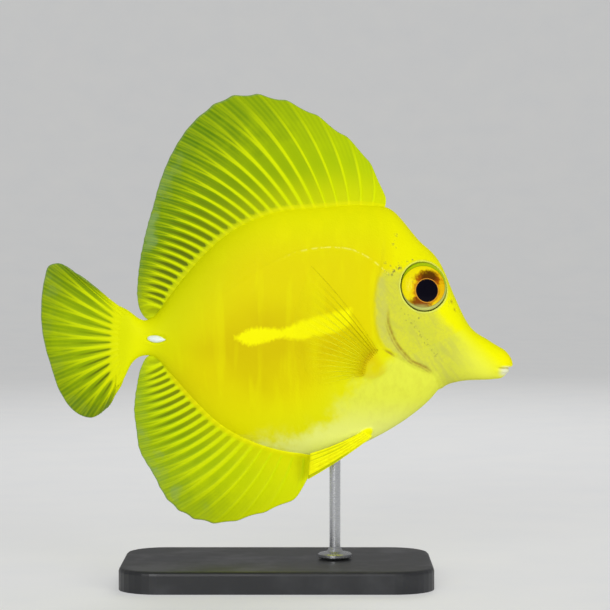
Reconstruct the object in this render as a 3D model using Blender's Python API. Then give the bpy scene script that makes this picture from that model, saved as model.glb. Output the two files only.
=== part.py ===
# A yellow tang, a small disc-shaped reef fish, modelled life-size and still, swimming
# level with its snout a little low, held over a flat base by one thin rod.
# Sizes are in millimetres, and MM turns them into Blender's metres at the last step.
# +X is forward (towards the snout), +Y is the fish's left, +Z is up, and the origin is
# the middle of the underside of the base. The right side, -Y, is the one seen side on.

import math

import bmesh
import bpy
import numpy as np
from mathutils import Matrix, Vector

MM = 0.001
GAP = 0.3  # between pieces that touch
FAR = 60.0  # past the object's sides, for the blocks that cut it
CREASE_ANGLE = math.radians(32)  # a cut piece is shaded smooth over less than this

# Body: the line of the back, the line of the belly, and half the thickness, from the
# end of the tail stalk to the tip of the snout, each as (x, size)
BACK_LINE = [
    (-30.2, 54.6), (-26.3, 52.4), (-24.6, 53.2), (-21.0, 58.2), (-12.4, 67.9), (-1.4, 73.9),
    (8.0, 75.1), (20.0, 75.3), (22.4, 74.7), (28.2, 68.5), (32.8, 63.4), (35.6, 56.9),
    (38.0, 52.0), (42.6, 48.2), (47.1, 45.6),
]
BELLY_LINE = [
    (-30.2, 42.2), (-26.3, 45.3), (-24.4, 44.9), (-21.0, 41.1), (-12.4, 32.0), (-1.4, 26.5),
    (6.0, 25.3), (12.6, 25.9), (19.0, 28.5), (30.8, 36.6), (33.4, 39.2), (36.0, 40.0),
    (42.6, 40.5), (47.1, 40.9),
]
HALF_THICKNESS = [
    (-30.2, 1.0), (-26.3, 1.9), (-21.0, 2.9), (-12.4, 4.4), (-1.4, 5.6), (8.0, 6.25),
    (17.0, 6.4), (25.0, 5.9), (32.8, 4.6), (38.0, 3.3), (44.0, 2.2), (47.1, 1.8),
]
# 0.5 is an ellipse, and more is a narrower ridge along the back and belly
RIDGE = [(-30.2, 0.5), (-21.0, 0.6), (0.0, 0.66), (18.0, 0.64), (28.0, 0.54), (36.0, 0.5), (47.1, 0.5)]
TAIL_END = -30.2
SNOUT_TIP = 47.1
CHIN_TIP = 46.3
SNOUT_TIP_Z = 43.8
NOSE_RADIUS = 2.1
LIP_RADIUS = 0.9
MOUTH_Z = 42.8  # the underside of the upper lip
BODY_STATIONS = 46
BODY_ROUND = 12  # faces from belly to back on each side

# Where the head ends: the gill opening, carried up to the nape and down to the throat
GILL_OPENING = [
    (21.9, 77.5), (21.4, 69.4), (20.8, 64.0), (19.6, 59.4), (19.2, 54.4), (19.7, 50.4),
    (20.9, 47.5), (23.7, 45.6), (26.8, 43.5), (28.8, 42.6), (31.2, 41.8), (32.8, 38.0), (33.4, 33.0),
]
# The crease in front of the gill cover, from its top to the throat
GILL_CREASE = [
    (20.9, 63.6), (21.6, 58.4), (22.0, 54.4), (22.2, 51.3), (24.3, 47.2), (26.3, 45.0),
    (29.4, 43.3), (31.1, 42.0),
]
COVER_TOP, COVER_BOTTOM = 64.0, 41.8  # the cover's rear edge follows the opening between these heights
CURVE_POINTS = 16  # on each drawn line of the gills
COVER_INNER = 3.4  # how far the cover's flat back is from the middle of the head
COVER_RAISE = 0.25
TRUNK_TUCK = 0.3  # how much thinner the trunk starts, behind the covers
TUCK_LENGTH = 2.4
STALK_START = -21.4

MOUTH_DROP = 0.35  # the jaw's upper edge is this far below the upper lip at the front
MOUTH_CORNER = (43.7, 42.9)
JAW_HINGE = (42.0, 39.6)
# Centre x, reach forward, half width, z at the front and at the corners, and radius
UPPER_LIP = (43.9, 2.75, 1.95, 43.3, 43.65, 0.48)
LOWER_LIP = (43.6, 2.3, 1.8, 42.1, 42.4, 0.42)
LIP_STEPS = 13
NOSTRILS = [(34.9, 56.2, 0.42), (35.5, 54.6, 0.32)]  # x, z, radius
NOSTRIL_DEPTH = 0.7

EYE = (29.2, 59.2)
EYE_RADIUS = 4.5
EYE_HALF_DEPTH = 2.2
EYE_SUNK = 0.8  # the eye's widest ring is this far under the skin
EYE_FORWARD, EYE_UP = math.radians(12), math.radians(9)
ORBIT_RING = (4.78, 0.4)  # radius of the ring round the eye, and of its own roundness

SPINE = (-24.0, 48.7)  # the blade at the tail stalk
SPINE_HALF = (1.85, 0.8, 0.72)  # half its length, depth and height
SPINE_TILT, SPINE_TURN = math.radians(5), math.radians(-10)

FIN_RAY_HALF = (0.62, 0.36)  # half the thickness of a ray, at its root and its tip
FIN_WEB = 0.25  # half the thickness of the skin between the rays
FIN_ROWS = 9  # points along a ray
RAY_BOW = 0.055  # how far a ray bends off its straight line, for its length
SCALLOP = 0.03  # how far the edge draws in between two ray tips

DORSAL_SPAN = (21.6, -23.9)  # x of its first and last ray on the back
DORSAL_RAYS = 29  # 5 spines and 24 soft rays
DORSAL_EDGE = [
    (21.7, 77.0), (20.3, 80.6), (16.7, 86.5), (11.6, 90.8), (6.6, 94.1), (1.1, 96.5),
    (-5.5, 97.6), (-9.0, 97.1), (-16.0, 92.7), (-21.4, 85.0), (-25.0, 74.3), (-26.8, 67.6),
    (-27.8, 61.1), (-27.9, 56.4), (-27.2, 54.2), (-26.0, 53.3), (-24.8, 53.6),
]
# Share of the way along the back against share of the way round the edge
DORSAL_FAN = [
    (0.0, 0.0), (0.1, 0.17), (0.2, 0.34), (0.35, 0.52), (0.5, 0.65), (0.66, 0.76), (0.82, 0.85),
    (0.93, 0.92), (0.98, 0.955), (1.0, 1.0),
]
DORSAL_CROWDING = 0.45  # how much closer the last rays stand than the first
DORSAL_WAVE = (0.7, 2.6)  # how far the edge waves from side to side, and how often

ANAL_SPAN = (7.5, -23.9)
ANAL_RAYS = 23  # 3 spines and 20 soft rays
ANAL_EDGE = [
    (8.0, 24.6), (7.4, 22.4), (6.2, 20.3), (3.4, 16.4), (-1.1, 14.3), (-6.4, 12.5), (-11.0, 11.5),
    (-16.8, 12.5), (-21.9, 16.2), (-24.4, 20.7), (-27.6, 26.5), (-28.3, 30.8), (-28.6, 33.8),
    (-28.0, 39.7), (-27.3, 42.8), (-25.6, 44.7), (-24.6, 45.0),
]
ANAL_FAN = [
    (0.0, 0.0), (0.05, 0.12), (0.13, 0.26), (0.25, 0.42), (0.35, 0.52), (0.5, 0.645), (0.65, 0.743),
    (0.77, 0.82), (0.89, 0.893), (0.97, 0.945), (1.0, 1.0),
]
ANAL_CROWDING = 0.4
ANAL_WAVE = (0.6, 2.2)

TAIL_RAYS = 16
TAIL_RAY_HALF, TAIL_WEB = (0.8, 0.34), 0.28
TAIL_INSET = 0.2  # how far its first and last rays start inside the end of the stalk
TAIL_EDGE = [
    (-36.0, 58.8), (-40.4, 62.0), (-43.9, 63.8), (-45.5, 63.3), (-46.5, 60.5), (-47.2, 55.5),
    (-47.1, 50.4), (-45.5, 43.4), (-43.4, 37.3), (-40.5, 33.6), (-37.6, 32.5), (-34.9, 33.8),
    (-32.0, 38.4),
]
TAIL_CURL = 6.0  # how far the lower lobe bends away to the left
TAIL_SWEEP = 1.2  # how far the upper lobe leans to the right

PECTORAL_TOP, PECTORAL_BOTTOM = (20.0, 46.4), (17.5, 41.6)  # the ends of the fin's root
PECTORAL_RAYS = 15
PECTORAL_LENGTHS = (22.0, 8.0)  # the first ray and the last
PECTORAL_ANGLES = (128.0, 192.0)  # from forward, turning up and back, in degrees
PECTORAL_SPREAD = (17.0, 12.0)  # out from the body, in degrees
PECTORAL_OUT = 0.75  # how far outside the skin its rays start
PAIRED_RAY_HALF = (0.42, 0.28)  # half the thickness of a ray of the pectoral and pelvic fins
PAIRED_ROWS = 7
PECTORAL_PAD = (19.4, 43.9)  # the fleshy base
PECTORAL_PAD_HALF = (3.3, 1.9, 1.25)  # half its length, width and depth
PECTORAL_PAD_ANGLE = math.radians(62)
PAD_OUT = 0.1  # how far a fin's fleshy base has its middle outside the skin

# The first ray's, along the lower edge, and the last one's
PELVIC_ROOTS = [(18.6, 28.9), (17.0, 30.2)]
PELVIC_TIPS = [(6.2, 20.7), (6.6, 26.0)]
PELVIC_RAYS = 6  # a spine and 5 soft rays
PELVIC_OUT = 0.45
PELVIC_SPLAY = 1.3  # how far the tips stand out past the roots
PELVIC_BOW = (0.0, -0.35, -0.3)
PELVIC_PAD = (17.5, 29.7)
PELVIC_PAD_HALF = (2.3, 1.0, 0.8)
PELVIC_PAD_ANGLE = math.radians(-145)

BASE_LENGTH, BASE_WIDTH, BASE_HEIGHT = 62.0, 38.0, 4.4
BASE_CORNER = 8.0
BASE_BEVEL = 0.8
ROD_X = 11.6
ROD_RADIUS = 1.1
ROD_TOP = 33.0
FLANGE_RADIUS, FLANGE_HEIGHT = 3.4, 1.0
SOCKET_BOTTOM = 10.0  # the block that makes the rod's room starts here, in the open

SKIN_FINISH = ((0.76, 0.66, 0.01), 0.42, 0.0)  # colour, roughness and metallic
FIN_FINISH = ((0.5, 0.62, 0.01), 0.4, 0.0)
EYE_FINISH = ((0.05, 0.035, 0.01), 0.12, 0.0)
BLADE_FINISH = ((0.85, 0.9, 0.85), 0.35, 0.0)
PAINT_FINISH = ((0.02, 0.02, 0.022), 0.45, 0.0)
STEEL_FINISH = ((0.6, 0.6, 0.62), 0.3, 1.0)


def smooth(points, at):
    """The smooth curve through points, given as (place, size), read at the places asked for."""
    place, size = np.array(points, float).T
    slope = np.gradient(size, place)
    at = np.clip(at, place[0], place[-1])
    i = np.clip(np.searchsorted(place, at) - 1, 0, len(place) - 2)
    run = place[i + 1] - place[i]
    t = (at - place[i]) / run
    near = (2 * t**3 - 3 * t**2 + 1) * size[i] + (t**3 - 2 * t**2 + t) * run * slope[i]
    far = (3 * t**2 - 2 * t**3) * size[i + 1] + (t**3 - t**2) * run * slope[i + 1]
    return near + far


def along(points, shares):
    """Points on the smooth line through points, at these shares of its length."""
    corners = np.array(points, float)
    knots = np.concatenate([[0], np.cumsum(np.linalg.norm(np.diff(corners, axis=0), axis=1))])
    fine = np.linspace(0, knots[-1], 600)
    line = np.stack([smooth(np.stack([knots, c], 1), fine) for c in corners.T], 1)
    run = np.concatenate([[0], np.cumsum(np.linalg.norm(np.diff(line, axis=0), axis=1))])
    return np.stack([np.interp(np.asarray(shares) * run[-1], run, c) for c in line.T], 1)


def rounding(x, tip, radius):
    """1 along the body, falling to 0 as a quarter circle at a tip."""
    over = np.clip((x - (tip - radius)) / radius, 0, 1)
    return np.sqrt(1 - over**2)


def section(x):
    """Top, bottom, half thickness and ridge of the body at x."""
    x = np.asarray(x, float)
    above = rounding(x, SNOUT_TIP, NOSE_RADIUS)
    top = SNOUT_TIP_Z + (smooth(BACK_LINE, x) - SNOUT_TIP_Z) * above
    chin = MOUTH_Z + (smooth(BELLY_LINE, x) - MOUTH_Z) * rounding(x, CHIN_TIP, NOSE_RADIUS)
    lip_under = SNOUT_TIP_Z - (SNOUT_TIP_Z - MOUTH_Z) * rounding(x, SNOUT_TIP, LIP_RADIUS)
    bottom = np.where(x > CHIN_TIP, lip_under, chin)
    return top, bottom, smooth(HALF_THICKNESS, x) * above, smooth(RIDGE, x)


def flank(x, z):
    """How far the skin is from the middle of the body at x and height z."""
    top, bottom, half, ridge = section(x)
    share = np.clip(np.abs(2 * z - top - bottom) / (top - bottom), 0, 1)
    return half * (1 - share**2) ** ridge


def opening_x(z):
    """Where the gill opening's line is at height z."""
    line = along(GILL_OPENING, np.linspace(1, 0, 60))
    return np.interp(z, line[:, 1], line[:, 0])


def mesh_object(name, points, faces, shaded=True):
    """A new object, from points in millimetres."""
    mesh = bpy.data.meshes.new(name)
    mesh.from_pydata([tuple(p) for p in np.asarray(points, float) * MM], [], [tuple(f) for f in faces])
    mesh.validate()
    if shaded:
        mesh.shade_smooth()
    obj = bpy.data.objects.new(name, mesh)
    bpy.context.scene.collection.objects.link(obj)
    return obj


def facing_out(obj):
    """Turns the faces of a closed mesh to point out."""
    work = bmesh.new()
    work.from_mesh(obj.data)
    bmesh.ops.recalc_face_normals(work, faces=work.faces)
    work.to_mesh(obj.data)
    work.free()
    return obj


def loft(name, rings, looped=False, shaded=True):
    """A closed skin over rings of points, with its two ends capped, or joined to each other if looped."""
    count, last = len(rings[0]), len(rings) - 1
    faces = []
    for r in range(last + 1 if looped else last):
        here, there = r * count, (r + 1) % len(rings) * count
        for i in range(count):
            j = (i + 1) % count
            faces.append((here + i, here + j, there + j, there + i))
    if not looped:
        faces += [tuple(range(count)), tuple(range(last * count, (last + 1) * count))]
    return facing_out(mesh_object(name, np.concatenate(rings), faces, shaded))


def stations(count):
    """Places along the body, closer together where its outline turns."""
    x = np.linspace(TAIL_END, SNOUT_TIP - 0.03, 2000)
    top, bottom, half, _ = section(x)
    steps = np.sqrt(np.gradient(x) ** 2 + 0.4 * np.gradient(top) ** 2 + 0.4 * np.gradient(bottom) ** 2)
    run = np.cumsum(steps)
    return np.interp(np.linspace(run[0], run[-1], count), run, x)


def body_loft(name, grown=0.0, tucked=False):
    """The whole body as one closed skin, thicker by grown, and drawn in behind the gills if tucked."""
    places = stations(BODY_STATIONS)
    angles = np.linspace(-math.pi / 2, math.pi / 2, BODY_ROUND + 1)
    rings = []
    for x in places:
        top, bottom, half, ridge = (float(v) for v in section(x))
        z = (top + bottom) / 2 + ((top - bottom) / 2 + grown) * np.sin(angles)
        y = half * np.cos(angles) ** (2 * ridge) + grown * np.cos(angles)
        if tucked:
            y = y - TRUNK_TUCK * np.cos(angles) * np.exp(-(((x - opening_x(z)) / TUCK_LENGTH) ** 2))
        y[0] = y[-1] = 0
        left = np.stack([np.full_like(z, x), y, z], 1)
        right = np.stack([np.full_like(z, x), -y, z], 1)[-2:0:-1]
        rings.append(np.concatenate([left, right]))
    return loft(name, rings)


def grow(outline, by):
    """A closed outline in x and z moved out by a distance."""
    points = np.array(outline, float)
    before, after = points - np.roll(points, 1, 0), np.roll(points, -1, 0) - points
    turn = np.sum(points[:, 0] * np.roll(points[:, 1], -1) - np.roll(points[:, 0], -1) * points[:, 1])
    sides = [np.stack([e[:, 1], -e[:, 0]], 1) / np.linalg.norm(e, axis=1)[:, None] for e in (before, after)]
    middle = sides[0] + sides[1]
    middle /= np.sum(middle * sides[0], axis=1)[:, None]
    return points + np.sign(turn) * by * middle


def prism(name, outline, low=-FAR, high=FAR):
    """A block with an outline in x and z, from y = low to y = high."""
    return loft(name, [[(x, y, z) for x, z in outline] for y in (low, high)], shaded=False)


def ellipsoid(name, half, segments=20, rings=10):
    """A ball of these three half sizes, about the origin."""
    mesh = bpy.data.meshes.new(name)
    work = bmesh.new()
    bmesh.ops.create_uvsphere(work, u_segments=segments, v_segments=rings, radius=MM)
    work.transform(Matrix.Diagonal((*half, 1)))
    work.to_mesh(mesh)
    work.free()
    mesh.shade_smooth()
    obj = bpy.data.objects.new(name, mesh)
    bpy.context.scene.collection.objects.link(obj)
    return obj


def circle(centre, across, up, radius, count):
    """Points round a circle, from the directions of its two radii."""
    turns = 2 * math.pi * np.arange(count) / count
    return centre + radius * (np.outer(np.cos(turns), across) + np.outer(np.sin(turns), up))


def ring(name, radius, tube, around=32, sides=6):
    """A round ring about the Z axis."""
    outs = circle(np.zeros(3), (1, 0, 0), (0, 1, 0), 1, around)
    return loft(name, [circle(radius * out, out, (0, 0, 1), tube, sides) for out in outs], looped=True)


def place(obj, matrix):
    """Moves an object's mesh by a matrix whose shift is in millimetres."""
    shift = Matrix.Translation(matrix.to_translation() * MM)
    obj.data.transform(shift @ matrix.to_3x3().to_4x4())
    if matrix.determinant() < 0:
        obj.data.flip_normals()
    return obj


def mirrored(obj, name):
    """A copy on the fish's other side."""
    other = obj.copy()
    other.data = obj.data.copy()
    other.name = other.data.name = name
    other.data.transform(Matrix.Diagonal((1, -1, 1, 1)))
    other.data.flip_normals()
    bpy.context.scene.collection.objects.link(other)
    return other


def settle(obj):
    """Makes an object's modifiers part of its mesh."""
    graph = bpy.context.evaluated_depsgraph_get()
    mesh = bpy.data.meshes.new_from_object(obj.evaluated_get(graph))
    obj.modifiers.clear()
    obj.data = mesh


def keep_largest(obj):
    """Drops every closed surface of a mesh but the one of the largest volume."""
    work = bmesh.new()
    work.from_mesh(obj.data)
    unseen = set(work.faces)
    groups = []
    while unseen:
        stack, group = [unseen.pop()], []
        while stack:
            face = stack.pop()
            group.append(face)
            for near in {f for e in face.edges for f in e.link_faces} & unseen:
                unseen.discard(near)
                stack.append(near)
        groups.append(group)

    def volume(group):
        corners = [[v.co for v in f.verts] for f in group]
        return abs(sum(c[0].dot(c[i].cross(c[i + 1])) for c in corners for i in range(1, len(c) - 1)))

    groups.sort(key=volume)
    loose = [f for group in groups[:-1] for f in group]
    bmesh.ops.delete(work, geom=loose, context="FACES")
    work.to_mesh(obj.data)
    work.free()


def combine(obj, others, operation):
    """Joins others to obj, or cuts or keeps by them, in one Boolean, and removes them."""
    group = bpy.data.collections.new(operation)
    bpy.context.scene.collection.children.link(group)
    for other in others:
        bpy.context.scene.collection.objects.unlink(other)
        group.objects.link(other)
    boolean = obj.modifiers.new(operation, "BOOLEAN")
    boolean.operation = operation
    boolean.solver = "EXACT"
    boolean.operand_type = "COLLECTION"
    boolean.collection = group
    settle(obj)
    obj.data.set_sharp_from_angle(angle=CREASE_ANGLE)
    for other in others:
        bpy.data.objects.remove(other)
    bpy.data.collections.remove(group)
    keep_largest(obj)
    return obj


def head_outline(grown=0.0):
    """The head's part of the side view, behind the snout and ahead of the gill opening."""
    ahead = SNOUT_TIP + 5
    rear = along(GILL_OPENING, np.linspace(0, 1, 2 * CURVE_POINTS))
    return grow([*rear, (ahead, rear[-1][1]), (ahead, rear[0][1])], grown)


def cover_outline(grown=0.0):
    """The gill cover's outline in the side view."""
    crease = along(GILL_CREASE, np.linspace(0, 1, CURVE_POINTS))
    opening = along(GILL_OPENING, np.linspace(0, 1, 200))
    rear = opening[(opening[:, 1] < COVER_TOP) & (opening[:, 1] > COVER_BOTTOM)]
    rear = rear[np.linspace(0, len(rear) - 1, CURVE_POINTS).astype(int)]
    return grow([*crease, *rear[::-1]], grown)


def jaw_outline(grown=0.0):
    """The lower jaw's part of the side view."""
    ahead, under = SNOUT_TIP + 3, JAW_HINGE[1] - 4
    line = [(ahead, MOUTH_Z - MOUTH_DROP), MOUTH_CORNER, JAW_HINGE, (JAW_HINGE[0], under), (ahead, under)]
    return grow(line, grown)


def stalk_outline(grown=0.0):
    """The tail stalk's part of the side view, behind an upright cut."""
    start = STALK_START + grown
    return [(-FAR, 0), (start, 0), (start, 2 * FAR), (-FAR, 2 * FAR)]


def eye_matrix(side):
    """Carries a piece built about the Z axis to the eye on one side, -1 right or 1 left."""
    x, z = EYE
    out = Vector((math.sin(EYE_FORWARD), side * math.cos(EYE_FORWARD) * math.cos(EYE_UP), math.sin(EYE_UP)))
    turn = out.normalized().to_track_quat("Z", "Y").to_matrix().to_4x4()
    skin = Vector((x, side * float(flank(x, z)), z))
    return Matrix.Translation(skin) @ turn


def spine_piece(name, grown=0.0):
    """The blade of the right side: a lens that ends in a point at the front."""
    half = [h + grown for h in SPINE_HALF]
    obj = ellipsoid(name, half, 16, 10)
    for v in obj.data.vertices:
        share = v.co.x / (half[0] * MM)
        narrow = 1 - 0.55 * max(share, 0) ** 1.5
        v.co.y *= narrow
        v.co.z *= narrow
    x, z = SPINE
    turn = Matrix.Rotation(SPINE_TILT, 4, "Y") @ Matrix.Rotation(SPINE_TURN, 4, "Z")
    return place(obj, Matrix.Translation((x, -float(flank(x, z)), z)) @ turn)


def lip(name, shape):
    """A lip: a tube that bends round the front of the mouth and is thinner at the corners."""
    centre, reach, half_width, front_z, corner_z, radius = shape
    rings = []
    for a in np.linspace(-math.pi / 2, math.pi / 2, LIP_STEPS):
        height = corner_z + (front_z - corner_z) * math.cos(a)
        middle = np.array([centre + reach * math.cos(a), half_width * math.sin(a), height])
        forward = np.array([half_width * math.cos(a), reach * math.sin(a), 0])
        forward /= np.linalg.norm(forward)
        rings.append(circle(middle, forward, (0, 0, 1), radius * (0.55 + 0.45 * math.cos(a)), 8))
    return loft(name, rings)


def nostril(name, side, shape):
    """The cutter of one nostril, along the skin's own direction there."""
    x, z, radius = shape
    skin = Vector((x, side * float(flank(x, z)), z))
    step = 0.2
    along_x = Vector((step, side * float(flank(x + step, z) - flank(x, z)), 0))
    along_z = Vector((0, side * float(flank(x, z + step) - flank(x, z)), step))
    out = along_x.cross(along_z).normalized()
    out *= side * (1 if out.y > 0 else -1)
    obj = ellipsoid(name, (radius, radius * 1.3, NOSTRIL_DEPTH), 12, 8)
    return place(obj, Matrix.Translation(skin) @ out.to_track_quat("Z", "Y").to_matrix().to_4x4())


def fin_sheet(name, roots, tips, bows, rows=FIN_ROWS, ray_half=FIN_RAY_HALF, web_half=FIN_WEB):
    """A fin as one thin closed sheet, with each ray a ridge on both of its faces.

    roots, tips and bows hold one row for each ray: where it starts and ends, and how far its
    middle bends off the straight line."""
    rays = len(roots)
    lines = 2 * rays - 1

    def between(values):
        full = np.zeros((lines, 3))
        full[::2] = values
        full[1::2] = (values[:-1] + values[1:]) / 2
        return full

    roots, tips, bows = (between(np.asarray(v, float)) for v in (roots, tips, bows))
    tips[1::2] += SCALLOP * (roots[1::2] - tips[1::2])
    s = np.linspace(0, 1, rows)[None, :, None]
    middle = roots[:, None] + (tips - roots)[:, None] * s + 4 * s * (1 - s) * bows[:, None]
    normal = np.cross(np.gradient(middle, axis=0), np.gradient(middle, axis=1))
    normal /= np.linalg.norm(normal, axis=2)[:, :, None]
    half = np.full((lines, rows), web_half)
    half[::2] = ray_half[0] + (ray_half[1] - ray_half[0]) * s[:, :, 0]
    offset = normal * half[:, :, None]
    points = np.concatenate([(middle + offset).reshape(-1, 3), (middle - offset).reshape(-1, 3)])
    other = lines * rows

    def at(line, row):
        return line * rows + row

    faces = []
    for i in range(lines - 1):
        for k in range(rows - 1):
            a, b, c, d = at(i, k), at(i + 1, k), at(i + 1, k + 1), at(i, k + 1)
            faces += [(a, b, c), (a, c, d)]
            faces += [(other + a, other + c, other + b), (other + a, other + d, other + c)]
    rim = [at(i, 0) for i in range(lines)] + [at(lines - 1, k) for k in range(1, rows)]
    rim += [at(i, rows - 1) for i in range(lines - 2, -1, -1)] + [at(0, k) for k in range(rows - 2, 0, -1)]
    for a, b in zip(rim, rim[1:] + rim[:1]):
        faces += [(a, other + a, other + b), (a, other + b, b)]
    return facing_out(mesh_object(name, points, faces))


def crowded(count, crowding):
    """Shares from 0 to 1 whose steps shrink towards the end."""
    steps = np.linspace(1, 1 - crowding, count - 1)
    return np.concatenate([[0], np.cumsum(steps)]) / steps.sum()


def median_fin(name, line, span, edge, count, fan, crowding, wave, side):
    """The dorsal fin, side 1, or the anal fin, side -1, on its line of the body."""
    share = crowded(count, crowding)
    places = span[0] + (span[1] - span[0]) * np.linspace(0, 1, 400)
    skin = np.stack([places, smooth(line, places)], 1)
    away = np.gradient(skin, axis=0)
    away = np.stack([away[:, 1], -away[:, 0]], 1) * np.sign(span[0] - span[1]) * side
    away /= np.linalg.norm(away, axis=1)[:, None]
    root = along(skin + GAP * away, share)
    tip = along(edge, smooth(fan, share))
    y = wave[0] * np.sin(2 * math.pi * wave[1] * share) * np.sin(math.pi * share)
    roots = np.stack([root[:, 0], np.zeros(count), root[:, 1]], 1)
    tips = np.stack([tip[:, 0], y, tip[:, 1]], 1)
    bend = np.stack([tip[:, 1] - root[:, 1], root[:, 0] - tip[:, 0]], 1) * RAY_BOW * side
    bows = np.stack([bend[:, 0], np.zeros(count), bend[:, 1]], 1)
    return fin_sheet(name, roots, tips, bows)


def tail_fin(name):
    """The tail fin, from the upright end of the tail stalk."""
    top, bottom, _, _ = (float(v) for v in section(TAIL_END))
    share = np.linspace(0, 1, TAIL_RAYS)
    z = top - TAIL_INSET - (top - bottom - 2 * TAIL_INSET) * share
    roots = np.stack([np.full(TAIL_RAYS, TAIL_END - GAP), np.zeros(TAIL_RAYS), z], 1)
    tip = along(TAIL_EDGE, share)
    y = TAIL_CURL * share**2.2 - TAIL_SWEEP * (1 - share) ** 2
    tips = np.stack([tip[:, 0], y, tip[:, 1]], 1)
    bows = np.stack([0.3 * (1 - 2 * share), -0.12 * y, -0.4 * (1 - 2 * share)], 1)
    return fin_sheet(name, roots, tips, bows, ray_half=TAIL_RAY_HALF, web_half=TAIL_WEB)


def fin_base(centre, half, angle):
    """The fleshy base of a right fin, on the skin at a place (x, z), turned in the side view."""
    x, z = centre
    turn = Matrix.Rotation(math.radians(90), 4, "X") @ Matrix.Rotation(angle, 4, "Z")
    skin = Matrix.Translation((x, -float(flank(x, z)) - PAD_OUT, z))
    return place(ellipsoid("fin_base", half, 16, 10), skin @ turn)


def pectoral_fin(name):
    """The right pectoral fin: a fan of rays on a fleshy base."""
    share = np.linspace(0, 1, PECTORAL_RAYS)
    root = along([PECTORAL_TOP, PECTORAL_BOTTOM], share)
    angle = np.radians(PECTORAL_ANGLES[0] + (PECTORAL_ANGLES[1] - PECTORAL_ANGLES[0]) * share)
    spread = np.radians(PECTORAL_SPREAD[0] + (PECTORAL_SPREAD[1] - PECTORAL_SPREAD[0]) * share)
    length = PECTORAL_LENGTHS[1] + (PECTORAL_LENGTHS[0] - PECTORAL_LENGTHS[1]) * (1 - share) ** 1.3
    out = -flank(root[:, 0], root[:, 1]) - PECTORAL_OUT
    roots = np.stack([root[:, 0], out, root[:, 1]], 1)
    ways = np.stack([np.cos(angle) * np.cos(spread), -np.sin(spread), np.sin(angle) * np.cos(spread)], 1)
    tips = roots + ways * length[:, None]
    bows = np.stack([0.02 * length, -0.025 * length, 0.02 * length], 1)
    fan = fin_sheet(name, roots, tips, bows, PAIRED_ROWS, PAIRED_RAY_HALF)
    combine(fan, [fin_base(PECTORAL_PAD, PECTORAL_PAD_HALF, PECTORAL_PAD_ANGLE)], "UNION")
    cutters = [
        body_loft("body_space", GAP),
        prism("cover_space", cover_outline(GAP)),
    ]
    return combine(fan, cutters, "DIFFERENCE")


def pelvic_fin(name):
    """The right pelvic fin, folded back along the keel of the belly, on a small fleshy base."""
    share = np.linspace(0, 1, PELVIC_RAYS)[:, None]
    root = np.array(PELVIC_ROOTS[0]) + (np.array(PELVIC_ROOTS[1]) - PELVIC_ROOTS[0]) * share
    tip = np.array(PELVIC_TIPS[0]) + (np.array(PELVIC_TIPS[1]) - PELVIC_TIPS[0]) * share
    out = -flank(root[:, 0], root[:, 1]) - PELVIC_OUT
    splayed = np.linspace(out[0], out[-1], PELVIC_RAYS) - PELVIC_SPLAY
    roots = np.stack([root[:, 0], out, root[:, 1]], 1)
    tips = np.stack([tip[:, 0], splayed, tip[:, 1]], 1)
    bows = np.tile(PELVIC_BOW, (PELVIC_RAYS, 1))
    fin = fin_sheet(name, roots, tips, bows, PAIRED_ROWS, PAIRED_RAY_HALF)
    combine(fin, [fin_base(PELVIC_PAD, PELVIC_PAD_HALF, PELVIC_PAD_ANGLE)], "UNION")
    cutters = [body_loft("body_space", GAP), rod_piece("rod_space", 2 * GAP)]
    return combine(fin, cutters, "DIFFERENCE")


def rod_piece(name, grown=0.0):
    """The rod with the flange that it stands on or, if grown, the room that it needs."""
    foot = BASE_HEIGHT + GAP
    profile = [
        (FLANGE_RADIUS - 0.2, foot), (FLANGE_RADIUS, foot + 0.25),
        (FLANGE_RADIUS, foot + FLANGE_HEIGHT - 0.25), (FLANGE_RADIUS - 0.3, foot + FLANGE_HEIGHT),
        (ROD_RADIUS + 0.5, foot + FLANGE_HEIGHT + 0.3), (ROD_RADIUS, foot + FLANGE_HEIGHT + 1.2),
        (ROD_RADIUS, ROD_TOP - 0.3), (ROD_RADIUS - 0.3, ROD_TOP),
    ]
    if grown:
        profile = [(ROD_RADIUS + grown, SOCKET_BOTTOM), (ROD_RADIUS + grown, ROD_TOP + grown)]
    rings = [circle(np.array([ROD_X, 0, z]), (1, 0, 0), (0, 1, 0), radius, 24) for radius, z in profile]
    rod = loft(name, rings)
    rod.data.set_sharp_from_angle(angle=CREASE_ANGLE)
    return rod


def base_piece(name):
    """The flat base: a block with round corners and a small bevel round its top."""
    mesh = bpy.data.meshes.new(name)
    work = bmesh.new()
    size = Matrix.Diagonal((BASE_LENGTH, BASE_WIDTH, BASE_HEIGHT, 1))
    bmesh.ops.create_cube(work, size=1, matrix=Matrix.Translation((0, 0, BASE_HEIGHT / 2)) @ size)
    upright = [e for e in work.edges if e.verts[0].co.xy == e.verts[1].co.xy]
    bmesh.ops.bevel(work, geom=upright, offset=BASE_CORNER, segments=8, profile=0.5, affect="EDGES")
    rim = [e for e in work.edges if min(v.co.z for v in e.verts) > BASE_HEIGHT / 2]
    bmesh.ops.bevel(work, geom=rim, offset=BASE_BEVEL, segments=3, profile=0.5, affect="EDGES")
    bmesh.ops.scale(work, vec=(MM, MM, MM), verts=work.verts)
    work.to_mesh(mesh)
    work.free()
    mesh.shade_smooth()
    mesh.set_sharp_from_angle(angle=CREASE_ANGLE)
    obj = bpy.data.objects.new(name, mesh)
    bpy.context.scene.collection.objects.link(obj)
    return obj


def material(name, colour, roughness, metallic=0.0):
    """A plain finish."""
    made = bpy.data.materials.new(name)
    made.use_nodes = True
    shader = made.node_tree.nodes["Principled BSDF"]
    shader.inputs["Base Color"].default_value = (*colour, 1)
    shader.inputs["Roughness"].default_value = roughness
    shader.inputs["Metallic"].default_value = metallic
    return made


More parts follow.
